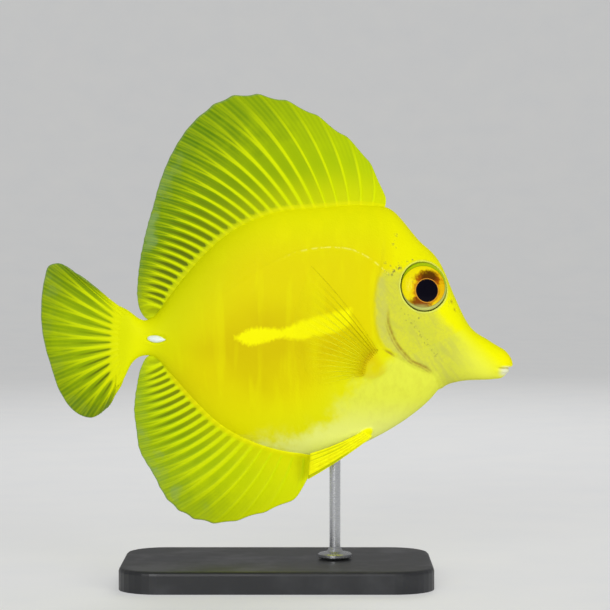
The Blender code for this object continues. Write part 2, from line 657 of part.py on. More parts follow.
def build_head():
    """The head with its sockets, rings, nostrils and upper lip, and the lower jaw."""
    head = combine(body_loft("head"), [prism("ahead", head_outline())], "INTERSECT")
    covers = [
        prism("cover_room_right", cover_outline(GAP), high=-COVER_INNER + GAP),
        prism("cover_room_left", cover_outline(GAP), low=COVER_INNER - GAP),
    ]
    combine(head, [*covers, prism("jaw_room", jaw_outline(GAP))], "DIFFERENCE")
    rings = [place(ring(f"ring_{s}", *ORBIT_RING), eye_matrix(s)) for s in (-1, 1)]
    combine(head, [*rings, lip("upper_lip", UPPER_LIP)], "UNION")
    room = [EYE_RADIUS + GAP, EYE_RADIUS + GAP, EYE_HALF_DEPTH + GAP]
    sunk = Matrix.Translation((0, 0, -EYE_SUNK))
    sockets = [place(ellipsoid(f"socket_{s}", room, 28, 12), eye_matrix(s) @ sunk) for s in (-1, 1)]
    holes = [nostril(f"nostril_{s}_{i}", s, n) for s in (-1, 1) for i, n in enumerate(NOSTRILS)]
    combine(head, sockets + holes, "DIFFERENCE")
    jaw = combine(body_loft("lower_jaw"), [prism("jaw_part", jaw_outline())], "INTERSECT")
    combine(jaw, [lip("lower_lip", LOWER_LIP)], "UNION")
    eyes = [
        place(ellipsoid(name, (EYE_RADIUS, EYE_RADIUS, EYE_HALF_DEPTH), 24, 10), eye_matrix(s) @ sunk)
        for name, s in (("eye_right", -1), ("eye_left", 1))
    ]
    return head, jaw, eyes


def build_covers():
    """The two gill covers, a little proud of the head."""
    parts = []
    for name, low, high in (("gill_cover_right", -FAR, -COVER_INNER), ("gill_cover_left", COVER_INNER, FAR)):
        part = prism("cover_part", cover_outline(), low, high)
        parts.append(combine(body_loft(name, COVER_RAISE), [part], "INTERSECT"))
    return parts


def build_trunk():
    """The trunk and the tail stalk, parted by a thin upright cut, with the blades' sheaths."""
    trunk = body_loft("trunk", tucked=True)
    behind = prism("behind", stalk_outline(GAP))
    ahead = prism("ahead", head_outline(GAP))
    combine(trunk, [behind, ahead, rod_piece("rod_room", GAP)], "DIFFERENCE")
    stalk = combine(body_loft("tail_stalk"), [prism("stalk_part", stalk_outline())], "INTERSECT")
    sheath = spine_piece("sheath_right", GAP)
    combine(stalk, [sheath, mirrored(sheath, "sheath_left")], "DIFFERENCE")
    blade = spine_piece("tail_blade_right")
    return trunk, stalk, [blade, mirrored(blade, "tail_blade_left")]


def build_fins():
    """All the fins."""
    dorsal_shape = (DORSAL_SPAN, DORSAL_EDGE, DORSAL_RAYS, DORSAL_FAN, DORSAL_CROWDING, DORSAL_WAVE)
    anal_shape = (ANAL_SPAN, ANAL_EDGE, ANAL_RAYS, ANAL_FAN, ANAL_CROWDING, ANAL_WAVE)
    dorsal = median_fin("dorsal_fin", BACK_LINE, *dorsal_shape, side=1)
    anal = median_fin("anal_fin", BELLY_LINE, *anal_shape, side=-1)
    pectoral = pectoral_fin("pectoral_fin_right")
    pelvic = pelvic_fin("pelvic_fin_right")
    pairs = [pectoral, mirrored(pectoral, "pectoral_fin_left"), pelvic, mirrored(pelvic, "pelvic_fin_left")]
    return [dorsal, anal, tail_fin("tail_fin"), *pairs]


def main():
    for obj in list(bpy.data.objects):
        bpy.data.objects.remove(obj)
    head, jaw, eyes = build_head()
    trunk, stalk, blades = build_trunk()
    finishes = [
        ([head, jaw, trunk, stalk, *build_covers()], SKIN_FINISH),
        (build_fins(), FIN_FINISH),
        (eyes, EYE_FINISH),
        (blades, BLADE_FINISH),
        ([base_piece("stand_base")], PAINT_FINISH),
        ([rod_piece("stand_rod")], STEEL_FINISH),
    ]
    for objects, finish in finishes:
        for obj in objects:
            obj.data.materials.clear()
            obj.data.materials.append(material(obj.name, *finish))


main()
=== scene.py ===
# The looks of the yellow tang: one skin over the nodes of flesh, fine fins, eyes and
# blades in place of the plain ones, and the stand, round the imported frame.
# Sizes are in millimetres, and MM turns them into Blender's metres at the last step.
# +X is towards the snout, +Y is the fish's left, away from the camera, and +Z is up.

import math
from functools import partialmethod

import bpy
import numpy as np
from mathutils import Matrix, Vector


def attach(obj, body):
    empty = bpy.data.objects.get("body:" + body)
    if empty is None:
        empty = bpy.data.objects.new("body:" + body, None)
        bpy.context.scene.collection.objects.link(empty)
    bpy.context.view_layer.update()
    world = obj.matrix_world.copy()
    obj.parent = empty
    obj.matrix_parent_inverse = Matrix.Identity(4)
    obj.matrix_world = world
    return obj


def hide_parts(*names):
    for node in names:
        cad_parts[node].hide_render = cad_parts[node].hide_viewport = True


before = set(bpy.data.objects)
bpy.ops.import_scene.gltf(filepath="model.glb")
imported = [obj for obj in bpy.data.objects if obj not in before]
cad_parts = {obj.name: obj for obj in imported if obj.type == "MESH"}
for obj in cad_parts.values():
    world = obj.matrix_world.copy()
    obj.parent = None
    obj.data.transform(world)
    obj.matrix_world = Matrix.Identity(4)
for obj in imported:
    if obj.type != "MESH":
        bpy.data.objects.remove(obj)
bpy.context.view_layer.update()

MM = 0.001
scene = bpy.context.scene

# The body, as in the solids, carried on a little way over the root of the tail fin
BACK_LINE = [
    (-33.2, 56), (-30.2, 54.6), (-26.3, 52.4), (-24.6, 53.2), (-21, 58.2), (-12.4, 67.9),
    (-1.4, 73.9), (8, 75.1), (20, 75.3), (22.4, 74.7), (28.2, 68.5), (32.8, 63.4),
    (35.6, 56.9), (38, 52), (42.6, 48.2), (47.1, 45.6),
]
BELLY_LINE = [
    (-33.2, 38.2), (-30.6, 40.7), (-29.3, 43.3), (-26.3, 45.3), (-24.4, 44.9), (-21, 41.1),
    (-12.4, 32), (-1.4, 26.5), (6, 25.3), (12.6, 25.9), (19, 28.5), (30.8, 36.6), (33.4, 39.2),
    (36, 40), (42.6, 40.5), (47.1, 40.9),
]
HALF_THICKNESS = [
    (-33.2, 0), (-30.2, 1), (-26.3, 1.9), (-21, 2.9), (-12.4, 4.4), (-1.4, 5.6),
    (8, 6.25), (17, 6.4), (25, 5.9), (32.8, 4.6), (38, 3.3), (44, 2.2), (47.1, 1.8),
]
RIDGE = [
    (-30.2, 0.5), (-21, 0.6), (0, 0.66), (18, 0.64), (28, 0.54), (36, 0.5), (47.1, 0.5),
]
TAIL_END = -30.2
SKIN_END = -32.3
SNOUT_TIP = 47.1
CHIN_TIP = 46.3
SNOUT_TIP_Z = 43.8
NOSE_RADIUS = 2.1
LIP_RADIUS = 0.9
MOUTH_Z = 42.8
SKIN_STATIONS, SKIN_ROUND = 430, 680  # points along the body and round it
FINE_SPOTS = [(29.2, 5.5, 2.2), (45.2, 2.6, 1.6), (22.5, 4.5, 0.9)]  # x, reach, and how much closer

GILL_OPENING = [
    (21.9, 77.5), (21.4, 69.4), (20.8, 64), (19.6, 59.4), (19.2, 54.4), (19.7, 50.4),
    (20.9, 47.5), (23.7, 45.6), (26.8, 43.5), (28.8, 42.6), (31.2, 41.8), (32.8, 38), (33.4, 33),
]
GILL_CREASE = [
    (20.9, 63.6), (21.6, 58.4), (22, 54.4), (22.2, 51.3), (24.3, 47.2), (26.3, 45),
    (29.4, 43.3), (31.1, 42),
]
COVER_RAISE, COVER_TUCK = 0.16, 0.16  # how far the cover's edge stands out, and the skin behind it in

MOUTH_CORNER = (43.7, 42.9)
NOSTRILS = [(34.9, 56.2, 0.42), (35.5, 54.6, 0.32)]  # x, z and radius

EYE = (29.15, 59.2)
EYE_FORWARD, EYE_UP = math.radians(12), math.radians(9)
EYE_WIDE = (4.72, 4.9)  # the visible eye's half width and half height
EYE_DOME = (-0.3, 1.68)  # its edge from the skin, and how far its middle stands over that
IRIS = (4.42, 4.14)  # the golden disc's half width and half height
IRIS_AT = (-0.18, -0.05)  # its middle, forward and up from the middle of the eye
ORBIT = (4.84, 5.03)  # the socket's half width and half height
SOCKET_DEPTH = 2.6
PUPIL = (0.3, -0.92)  # forward and up from the middle of the eye
PUPIL_RADIUS = 2.26
IRIS_BROWNS = [  # middles and half sizes of the brown above and below the pupil, and of its core
    ((0.65, 1.38), (3, 1.9)), ((-1, -3.22), (2.4, 1.45)), ((0.8, 1.83), (2.1, 1.3)),
]

SPINE = (-24, 48.7)
SPINE_HALF = (1.85, 0.8, 0.72)  # half sizes of the blade on the tail stalk
SPINE_TILT, SPINE_TURN = math.radians(5), math.radians(-10)

LATERAL_LINE = [
    (22.2, 61.6), (18.6, 64.7), (15, 66.5), (11.4, 67), (7.9, 66.8), (4.3, 66.1),
    (1.4, 65), (-3, 62.6), (-9, 58.6), (-16, 53.6), (-22, 50.4),
]
DEEP_AT = (-3, 47)  # where the body's yellow is deepest
BELLY_EDGE = [
    (24.5, 44.7), (18.2, 41.6), (15.2, 39), (11, 32.8), (7, 30), (2, 29), (-5, 29.4),
]
SNOUT_LINE = ((32, 53.8), (43.2, 43))  # with the bright snout above
SPECKS = [  # x, z, half width, half height, and how dark
    (24.3, 63, 0.42, 0.5, 0.8), (23.2, 62.2, 0.3, 0.42, 0.8), (21.5, 63.9, 0.34, 0.3, 0.35),
    (23.8, 69.4, 0.3, 0.36, 0.3), (23, 67.6, 0.28, 0.3, 0.3), (26.9, 64.5, 0.2, 0.16, 0.7),
    (21.3, 62.4, 0.24, 0.2, 0.4), (22.8, 61.5, 0.26, 0.3, 0.7), (24.6, 54.8, 0.18, 0.16, 0.6),
    (25.3, 53.9, 0.17, 0.15, 0.7), (26, 53.7, 0.16, 0.14, 0.7), (28.1, 53, 0.2, 0.18, 0.6),
    (26.6, 52, 0.22, 0.18, 0.8), (27.4, 51.2, 0.24, 0.2, 0.7), (28.4, 49.6, 0.22, 0.26, 0.4),
    (29.9, 47.6, 0.24, 0.28, 0.4), (31.6, 45.5, 0.26, 0.24, 0.3), (25.8, 64.2, 0.3, 0.26, 0.35),
    (22.5, 63.3, 0.18, 0.2, 0.5), (27.2, 52.4, 0.13, 0.12, 0.6), (25.6, 52.6, 0.12, 0.12, 0.5),
]
SCATTER = [
    # ends of a line, how far specks are strewn to both sides of it, and how many
    ((25.4, 53.9), (31.8, 45.1), 0.5, 26), ((22, 61.5), (25.2, 64.3), 0.7, 16),
    ((23.2, 65), (23.6, 70), 0.3, 9), ((32.9, 60), (34.4, 55), 0.3, 8),
]
# The bright stripe along the side: its ends, and its upper and lower edges
STRIPE_ENDS = (-8.4, 14.9)
STRIPE_TOP = [
    (-8, 49.4), (-6.3, 50.6), (-3, 51.3), (1.4, 51.1), (3.9, 52.2), (7.7, 53.4), (11.6, 54.4), (14.8, 55.2),
]
STRIPE_FOOT = [
    (-8, 48.6), (-5.3, 47.4), (-2.5, 48), (2.1, 48.9), (4.4, 48.5), (7.7, 49.4), (12.6, 50.4), (14.8, 51.9),
]

FIN_SINK = 1.4  # how far a fin's root runs on under the skin
FIN_FILLET = (0.35, 1.3)  # how much thicker a fin is at its root, and how far that runs out
FIN_RIM = 0.05  # half the thickness of a fin at its edge
RAY_STEPS = 22  # points from one ray to the next
SPINE_RAYS = 5  # the first rays, which are spines
DORSAL_SPAN = (21.6, -23.9)
DORSAL_RAYS = 29
DORSAL_EDGE = [
    (21.7, 77), (20.3, 80.6), (16.7, 86.5), (11.6, 90.8), (6.6, 94.1), (1.1, 96.5),
    (-5.5, 97.6), (-9, 97.1), (-16, 92.7), (-21.4, 85), (-25, 74.3), (-26.8, 67.6),
    (-27.8, 61.1), (-27.9, 56.4), (-27.4, 54.2), (-26.4, 52.8), (-25.2, 52.2),
]
DORSAL_FAN = [  # where a ray ends along the edge, for where it starts along the root
    (0, 0), (0.1, 0.17), (0.2, 0.34), (0.35, 0.52), (0.5, 0.65), (0.66, 0.76), (0.82, 0.85),
    (0.93, 0.92), (0.98, 0.955), (1, 1),
]
DORSAL_CROWDING = 0.45  # how much closer the last rays stand than the first
DORSAL_WAVE = (0.7, 2.6)  # how far the edge waves aside, and how many times
ANAL_SPAN = (7.5, -23.9)
ANAL_RAYS = 23
ANAL_EDGE = [
    (8, 24.6), (7.4, 22.4), (6.2, 20.3), (3.4, 16.4), (-1.1, 14.3), (-6.4, 12.5), (-11, 11.5),
    (-16.8, 12.5), (-21.9, 16.2), (-24.4, 20.7), (-27.6, 26.5), (-28.3, 30.8), (-28.6, 33.8),
    (-28, 39.7), (-27.3, 42.8), (-26.2, 44.9), (-25.2, 45.6),
]
ANAL_FAN = [
    (0, 0), (0.05, 0.12), (0.13, 0.26), (0.25, 0.42), (0.35, 0.52), (0.5, 0.645), (0.65, 0.743),
    (0.77, 0.82), (0.89, 0.893), (0.97, 0.945), (1, 1),
]
ANAL_CROWDING = 0.4
ANAL_WAVE = (0.6, 2.2)
GAP = 0.3  # between a fin's root and the body in the solids
RAY_BOW = 0.055  # how far a ray bows, for its length
DORSAL_SHAPE = (
    BACK_LINE, DORSAL_SPAN, DORSAL_EDGE, DORSAL_RAYS, DORSAL_FAN, DORSAL_CROWDING, DORSAL_WAVE, 1,
)
ANAL_SHAPE = (BELLY_LINE, ANAL_SPAN, ANAL_EDGE, ANAL_RAYS, ANAL_FAN, ANAL_CROWDING, ANAL_WAVE, -1)

TAIL_RAYS = 16
TAIL_INSET = 0.05
TAIL_EDGE = [
    (-36, 58.8), (-40.4, 62), (-43.9, 63.8), (-45.5, 63.3), (-46.5, 60.5), (-47.2, 55.5),
    (-47.1, 50.4), (-45.5, 43.4), (-43.4, 37.3), (-40.5, 33.6), (-37.6, 32.5), (-34.9, 34),
    (-32, 38.4),
]
TAIL_CURL, TAIL_SWEEP = 6, 1.2  # how far the lower and the upper lobe turn aside

PECTORAL_ROOTS = [(20, 46.6), (17.9, 44.4), (17, 41.6)]
PECTORAL_RAYS = 15
PECTORAL_LENGTHS = (8, 22.4)  # of its last and its first ray
PECTORAL_ANGLES = (128, 192)
PECTORAL_SPREAD = (17, 12)  # degrees out from the side
PECTORAL_OUT = 0.4  # how far the roots are from the skin
PECTORAL_BOW = (0.02, -0.025, 0.02)
PECTORAL_PAD = (20, 44.3, 4.4, 2.8, math.radians(48), 0.6)  # x, z, half sizes, turn, height
PECTORAL_NOTCH = [(21, 46.9), (22.2, 46.2), (23.6, 45.2)]

PELVIC_ROOTS = [(18.6, 28.9), (17, 30.2)]
PELVIC_TIPS = [(6.2, 20.7), (6.6, 26)]
PELVIC_RAYS = 6
PELVIC_OUT = 0.45
PELVIC_SINK = 0.9
PELVIC_SPLAY = 1.3
PELVIC_BOW = (0, -0.35, -0.3)
PELVIC_PAD = (17.4, 29.6, 2.2, 1.1, math.radians(38), 0.4)

FIN_SIZES = {
    # rays, points along each, half thickness of the rays and of the skin between them, at the root and
    # at the tip, width of a ray at both for the distance between two, how far the root turns aside
    # under the skin, and how far the edge draws in between two spines and two soft rays
    "dorsal": (DORSAL_RAYS, 76, ((0.4, 0.18), (0.2, 0.1)), (0.17, 0.07), (0, 0, 0), (0.6, 0.06)),
    "anal": (ANAL_RAYS, 66, ((0.36, 0.18), (0.2, 0.1)), (0.24, 0.1), (0, 0, 0), (0.4, 0.06)),
    "tail": (TAIL_RAYS, 70, ((0.62, 0.2), (0.52, 0.1)), (0.22, 0.07), (0, 0, 0), (0.04, 0.04)),
    "pectoral": (PECTORAL_RAYS, 60, ((0.3, 0.08), (0.12, 0.04)), (0.09, 0.035), (0, 1.8, 0), (0, 0)),
    "pelvic": (PELVIC_RAYS, 40, ((0.3, 0.14), (0.2, 0.1)), (0.26, 0.14), (0, 0.9, 0.2), (0, 0)),
}

VIEW_WIDTH = 122  # what the picture spans at the middle of the fish
VIEW_CENTRE = (5.6, 0, 55.4)
VIEW_LENS, VIEW_SENSOR = 150, 36
VIEW_ELEVATION = math.radians(2)
LAMP_SPREAD = math.radians(80)  # narrow enough to leave the floor round a lamp unlit
LAMPS = [  # name, place, size and watts
    ("key", (-210, -680, 290), 420, 0.41),
    ("fill", (430, -540, 190), 300, 0.355),
    ("back", (80, 700, 400), 420, 0.68),
]
WORLD_LIGHT, PAPER_GLOW = 0.32, 0.88
FLOOR_REACH, WALL_BEND, WALL_TOP = 1000, 500, 1800
STAGE_TURNS = 96


def srgb(red, green, blue):
    """A screen colour of 0 to 255 as the shader's own linear colour."""
    parts = [c / 255 for c in (red, green, blue)]
    return tuple(c / 12.92 if c < 0.04045 else ((c + 0.055) / 1.055) ** 2.4 for c in parts)


BODY_YELLOW = srgb(228, 216, 0)
BODY_DEEP = srgb(215, 196, 0)
LOW_YELLOW = srgb(238, 235, 0)
SIDE_YELLOW = srgb(229, 230, 8)
BACK_YELLOW = srgb(231, 231, 0)
BACK_GREEN = srgb(212, 218, 0)
BRIGHT_YELLOW = srgb(255, 252, 0)
PALE_YELLOW = srgb(214, 216, 62)
PALE_GREEN = srgb(204, 208, 66)
PALE_GREY = srgb(190, 190, 84)
PALE_SNOUT = srgb(242, 246, 72)
BELLY_MID = srgb(230, 236, 72)
BELLY_PALE = srgb(240, 246, 128)
BAND_GREY = srgb(198, 196, 104)
SNOUT_YELLOW = srgb(246, 246, 0)
TIP_ORANGE = srgb(252, 240, 0)
PELVIC_YELLOW = srgb(255, 255, 0)
STALK_GREEN = srgb(248, 251, 0)
ROOT_GREEN = srgb(226, 233, 0)
LIP_WHITE = srgb(232, 234, 196)
# painted shade for the notch by the pectoral fin, the gill crease, the mouth's slit and the nostrils
RECESS_SHADE = srgb(158, 126, 44)
PAD_ORANGE = srgb(214, 180, 0)
SPECK_GREY = srgb(120, 116, 66)
LINE_PALE = srgb(250, 250, 120)
LINE_SOFT = srgb(240, 240, 40)
RIM_PALE = srgb(232, 240, 110)
RAY_YELLOW = srgb(218, 234, 0)
RAY_OLIVE = srgb(168, 160, 0)
RAY_BROWN = srgb(112, 74, 0)
WEB_FRONT = srgb(178, 202, 0)
WEB_LOW = srgb(222, 232, 0)
WEB_GREEN = srgb(110, 146, 0)
WEB_ANAL = srgb(158, 190, 0)
WEB_TAIL = srgb(138, 168, 4)
WEB_LOBE = srgb(66, 106, 6)
SLOT_OLIVE = srgb(128, 156, 0)
SLOT_DARK = srgb(58, 78, 8)
TOP_GREEN = srgb(66, 114, 12)
LOW_GREEN = srgb(130, 162, 16)
EDGE_BLUE = srgb(132, 162, 96)
IRIS_YELLOW = srgb(244, 228, 0)
IRIS_ORANGE = srgb(236, 186, 0)
IRIS_GREEN = srgb(214, 220, 0)
IRIS_BROWN = srgb(72, 14, 0)
IRIS_AMBER = srgb(158, 70, 0)
IRIS_RING = srgb(226, 158, 50)
EYE_GREEN = srgb(178, 205, 0)
EYE_PALE = srgb(196, 202, 110)
# painted shadow in the groove between the eye and its socket
EYE_GROOVE_SHADE = srgb(58, 62, 12)
PUPIL_BLACK = srgb(4, 2, 14)
BLADE_WHITE = srgb(244, 255, 248)
BLADE_IVORY = srgb(232, 240, 214)
PAINT_BLACK = srgb(34, 35, 38)
PAINT_DUSTY = srgb(66, 67, 70)
STEEL_DARK = srgb(182, 184, 188)
STEEL_LIGHT = srgb(214, 215, 217)
PAPER_COOL = srgb(172, 173, 174)
PAPER_WARM = srgb(177, 177, 176)


def smooth(points, at):
    """The smooth curve through points, given as (place, size), read at the places asked for."""
    place, size = np.array(points, float).T
    slope = np.gradient(size, place)
    at = np.clip(at, place[0], place[-1])
    i = np.clip(np.searchsorted(place, at) - 1, 0, len(place) - 2)
    run = place[i + 1] - place[i]
    t = (at - place[i]) / run
    near = (2 * t**3 - 3 * t**2 + 1) * size[i] + (t**3 - 2 * t**2 + t) * run * slope[i]
    far = (3 * t**2 - 2 * t**3) * size[i + 1] + (t**3 - t**2) * run * slope[i + 1]
    return near + far


def along(points, shares):
    """Points on the smooth line through points, at these shares of its length."""
    corners = np.array(points, float)
    knots = np.concatenate([[0], np.cumsum(np.linalg.norm(np.diff(corners, axis=0), axis=1))])
    fine = np.linspace(0, knots[-1], 600)
    line = np.stack([smooth(np.stack([knots, c], 1), fine) for c in corners.T], 1)
    run = np.concatenate([[0], np.cumsum(np.linalg.norm(np.diff(line, axis=0), axis=1))])
    return np.stack([np.interp(np.asarray(shares) * run[-1], run, c) for c in line.T], 1)


def ease(low, high, value):
    """0 below low, 1 above high, and a smooth step between."""
    t = np.clip((value - low) / (high - low), 0, 1)
    return t * t * (3 - 2 * t)


def circle(count):
    """The angles of this many places round a circle."""
    return np.linspace(0, 2 * np.pi, count, endpoint=False)


def between(ends, share):
    """Values a share of the way from the first of two ends to the second."""
    first, second = np.array(ends, float)
    return first + np.multiply.outer(share, second - first)


def bell(value, width):
    """1 at 0, and falling off over a width."""
    return np.exp(-((value / width) ** 2))


def rounding(x, tip, radius):
    """1 along the body, falling to 0 as a quarter circle at a tip."""
    over = np.clip((x - (tip - radius)) / radius, 0, 1)
    return np.sqrt(1 - over**2)


def section(x):
    """Top, bottom, half thickness and ridge of the body at x."""
    x = np.asarray(x, float)
    above = rounding(x, SNOUT_TIP, NOSE_RADIUS)
    top = SNOUT_TIP_Z + (smooth(BACK_LINE, x) - SNOUT_TIP_Z) * above
    chin = MOUTH_Z + (smooth(BELLY_LINE, x) - MOUTH_Z) * rounding(x, CHIN_TIP, NOSE_RADIUS)
    lip_under = SNOUT_TIP_Z - (SNOUT_TIP_Z - MOUTH_Z) * rounding(x, SNOUT_TIP, LIP_RADIUS)
    bottom = np.where(x > CHIN_TIP, lip_under, chin)
    return top, bottom, smooth(HALF_THICKNESS, x) * above, smooth(RIDGE, x)


def flank(x, z):
    """How far the skin is from the middle of the body at x and height z."""
    top, bottom, half, ridge = section(x)
    share = np.clip(np.abs(2 * z - top - bottom) / (top - bottom), 0, 1)
    return half * (1 - share**2) ** ridge


def mesh_object(name, points, faces, masks=None):
    """A smooth new object, from points in millimetres, with its named masks, one value a point.

    faces is a list of arrays, each of faces with the same count of corners."""
    loops = np.concatenate([f.ravel() for f in faces]).astype(np.int32)
    sizes = np.concatenate([np.full(len(f), f.shape[1]) for f in faces])
    mesh = bpy.data.meshes.new(name)
    mesh.vertices.add(len(points))
    mesh.vertices.foreach_set("co", (points * MM).ravel())
    mesh.loops.add(len(loops))
    mesh.loops.foreach_set("vertex_index", loops)
    mesh.polygons.add(len(sizes))
    mesh.polygons.foreach_set("loop_start", (np.cumsum(sizes) - sizes).astype(np.int32))
    mesh.update(calc_edges=True)
    mesh.validate()
    mesh.shade_smooth()
    for key, values in (masks or {}).items():
        layer = mesh.attributes.new(key, "FLOAT", "POINT")
        layer.data.foreach_set("value", np.asarray(values, np.float32).ravel())
    obj = bpy.data.objects.new(name, mesh)
    scene.collection.objects.link(obj)
    return obj


def quads(here, there):
    """The faces between two neighbouring lines of a grid of points, all along them."""
    return np.stack([here[:-1], here[1:], there[1:], there[:-1]], 2).reshape(-1, 4)


def tube_faces(rings, around):
    """The faces of a tube of rings of points, and of fans over its ends, whose middles come last."""
    here = np.arange(rings * around).reshape(rings, around)
    there = np.roll(here, -1, 1)
    first, last = rings * around, rings * around + 1
    start = np.stack([np.full(around, first), here[0], there[0]], 1)
    end = np.stack([np.full(around, last), there[-1], here[-1]], 1)
    return [quads(here, there), start, end]


def with_middles(rings):
    """The points of rings in one list, with the middles of the first and last ring after them."""
    return np.concatenate([rings.reshape(-1, rings.shape[2]), [rings[0].mean(0), rings[-1].mean(0)]])


def near_line(x, z, points, count):
    """For the side view: distance to the smooth line through points, its side (1 left), and share along."""
    line = along(points, np.linspace(0, 1, count))
    lengths = np.linalg.norm(np.diff(line, axis=0), axis=1)
    starts = np.concatenate([[0], np.cumsum(lengths)])
    best = np.full(x.shape, np.inf)
    side, share = np.zeros(x.shape), np.zeros(x.shape)
    for a, b, length, start in zip(line[:-1], line[1:], lengths, starts):
        way = (b - a) / length
        run = np.clip((x - a[0]) * way[0] + (z - a[1]) * way[1], 0, length)
        off_x, off_z = x - a[0] - run * way[0], z - a[1] - run * way[1]
        far = np.hypot(off_x, off_z)
        closer = far < best
        best = np.where(closer, far, best)
        side = np.where(closer, np.sign(way[0] * off_z - way[1] * off_x), side)
        share = np.where(closer, (start + run) / starts[-1], share)
    return best, side, share


def blob(x, z, shape):
    """An oval swelling of the side view, 1 at its middle and 0 at its edge."""
    centre_x, centre_z, half_long, half_wide, turn, _ = shape
    off_x, off_z = x - centre_x, z - centre_z
    u = (off_x * math.cos(turn) + off_z * math.sin(turn)) / half_long
    v = (off_z * math.cos(turn) - off_x * math.sin(turn)) / half_wide
    return np.clip(1 - u * u - v * v, 0, 1)


def eye_matrix(side):
    """Carries a piece built about the Z axis to the eye on one side, -1 right or 1 left."""
    x, z = EYE
    out = Vector((math.sin(EYE_FORWARD), side * math.cos(EYE_FORWARD) * math.cos(EYE_UP), math.sin(EYE_UP)))
    turn = out.normalized().to_track_quat("Z", "Y").to_matrix().to_4x4()
    skin = Vector((x, side * float(flank(x, z)), z))
    return Matrix.Translation(skin) @ turn


def stations():
    """Places along the body, closer together where its outline turns and at its finest parts."""
    x = np.linspace(SKIN_END, SNOUT_TIP - 0.005, 4000)
    top, bottom, _, _ = section(x)
    steps = np.sqrt(np.gradient(x) ** 2 + 0.5 * np.gradient(top) ** 2 + 0.5 * np.gradient(bottom) ** 2)
    for place, reach, closer in FINE_SPOTS:
        steps *= 1 + closer * bell(x - place, reach)
    run = np.cumsum(steps)
    return np.interp(np.linspace(run[0], run[-1], SKIN_STATIONS), run, x)


def skin_rings():
    """The plain body as rings of points, from the tail to the snout."""
    x = stations()[:, None]
    angle = circle(SKIN_ROUND)[None, :] - 0.5 * np.pi
    top, bottom, half, ridge = section(x)
    z = (top + bottom) / 2 + (top - bottom) / 2 * np.sin(angle)
    y = half * np.sign(np.cos(angle)) * np.abs(np.cos(angle)) ** (2 * ridge)
    return np.stack([np.broadcast_to(x, z.shape), y, z], 2)


def unit(vectors):
    """The same ways, one long."""
    return vectors / np.maximum(np.linalg.norm(vectors, axis=-1, keepdims=True), 1e-9)


def gill_form(x, z):
    """The relief of the gill cover, the masks of the painted shade in its crease and of the pale band
    behind it, and how far each point is ahead of its opening."""
    far, side, share = near_line(x, z, GILL_OPENING, 60)
    ahead = far * side
    held = ease(0.13, 0.3, share) * ease(1, 0.9, share)
    relief = held * COVER_RAISE * ease(-0.05, 0.45, ahead) * ease(3.4, 0.6, ahead)
    relief -= held * COVER_TUCK * ease(0.1, -0.35, ahead) * bell(ahead, 2.4)
    far, side, share = near_line(x, z, GILL_CREASE, 40)
    beyond = far * side
    ends = ease(0.3, 0.46, share) * ease(1, 0.93, share)
    swing = 0.1 * np.sin(9 * share) + 0.06 * np.sin(31 * share + 1)
    groove = bell(beyond + swing, 0.25) * ends
    second = bell(beyond + swing + 0.7 - 0.3 * share, 0.16) * ends * ease(0.4, 0.55, share)
    relief += 0.1 * bell(beyond + 0.4, 0.3) * ends - 0.22 * groove - 0.12 * second
    band = ease(0.5, -0.5, beyond) * ease(-0.2, 0.9, ahead)
    band *= ease(0, 0.12, share) * ease(0.9, 0.6, share)
    return relief, np.maximum(groove, 0.75 * second), band, ahead


def mouth_form(x, z):
    """The relief of the lips and the mouth's line, and the masks of the line and of the pale lip."""
    corner_x, corner_z = MOUTH_CORNER
    on = x - corner_x
    over = z - corner_z - (MOUTH_Z - corner_z) * on / (CHIN_TIP - corner_x)
    slit = bell(over, 0.12) * ease(-0.1, 1.3, on)
    lips = (0.14 * bell(over - 0.6, 0.4) + 0.2 * bell(over + 0.55, 0.36)) * ease(-0.9, 1.4, on)
    relief = lips - 0.34 * slit
    pale = ease(0.1, 1.7, on) * ease(0.1, -0.2, over) * ease(-2.1, -0.9, over)
    under = ease(0.6, 2.2, on) * bell(over - 0.25, 0.22)
    return relief, slit, np.maximum(pale, 0.7 * under)


def orbit_form(rings, side):
    """Carries the skin down into the socket of one eye. Returns the moved points and the rim's mask."""
    matrix = np.array(eye_matrix(side))
    local = (rings - matrix[:3, 3]) @ matrix[:3, :3]
    shape = np.hypot(local[..., 0] / ORBIT[0], local[..., 1] / ORBIT[1])
    beside = np.sign(rings[..., 1]) == side
    far = np.where(beside, (shape - 1) * ORBIT[0], np.inf)
    rise = 0.2 * bell(far - 0.14, 0.2) + 0.16 * bell(far - 0.2, 1.5)
    sink = ease(0, -0.22, far) * (local[..., 2] + SOCKET_DEPTH)
    rise *= ease(-0.2, 0, far)
    moved = rings + (rise - sink)[..., None] * matrix[:3, 2]
    return moved, bell(far - 0.13, 0.15) + 0.8 * ease(0.02, -0.08, far)


def zones(x, z, ahead):
    """Masks of the pale belly and cheek, the bright snout, and the side by the belly, from 0 to 1."""
    far, side, _ = near_line(x, z, BELLY_EDGE, 40)
    behind = ease(-10, 8, x)
    by_belly = ease(-9.5, -1, far * side) * behind
    belly = (0.15 * ease(-5.5, 0.5, far * side) + 0.85 * ease(-3.2, 3.2, far * side)) * behind
    cheek = ease(-0.6, 1.4, ahead) * ease(63.8, 60.8, z)
    (from_x, from_z), (to_x, to_z) = SNOUT_LINE
    long = math.hypot(to_x - from_x, to_z - from_z)
    above = ((x - from_x) * (from_z - to_z) + (z - from_z) * (to_x - from_x)) / long
    snout = ease(-2.2, 2.2, above) * ease(30, 33, x)
    return belly, cheek * (1 - snout), snout, by_belly


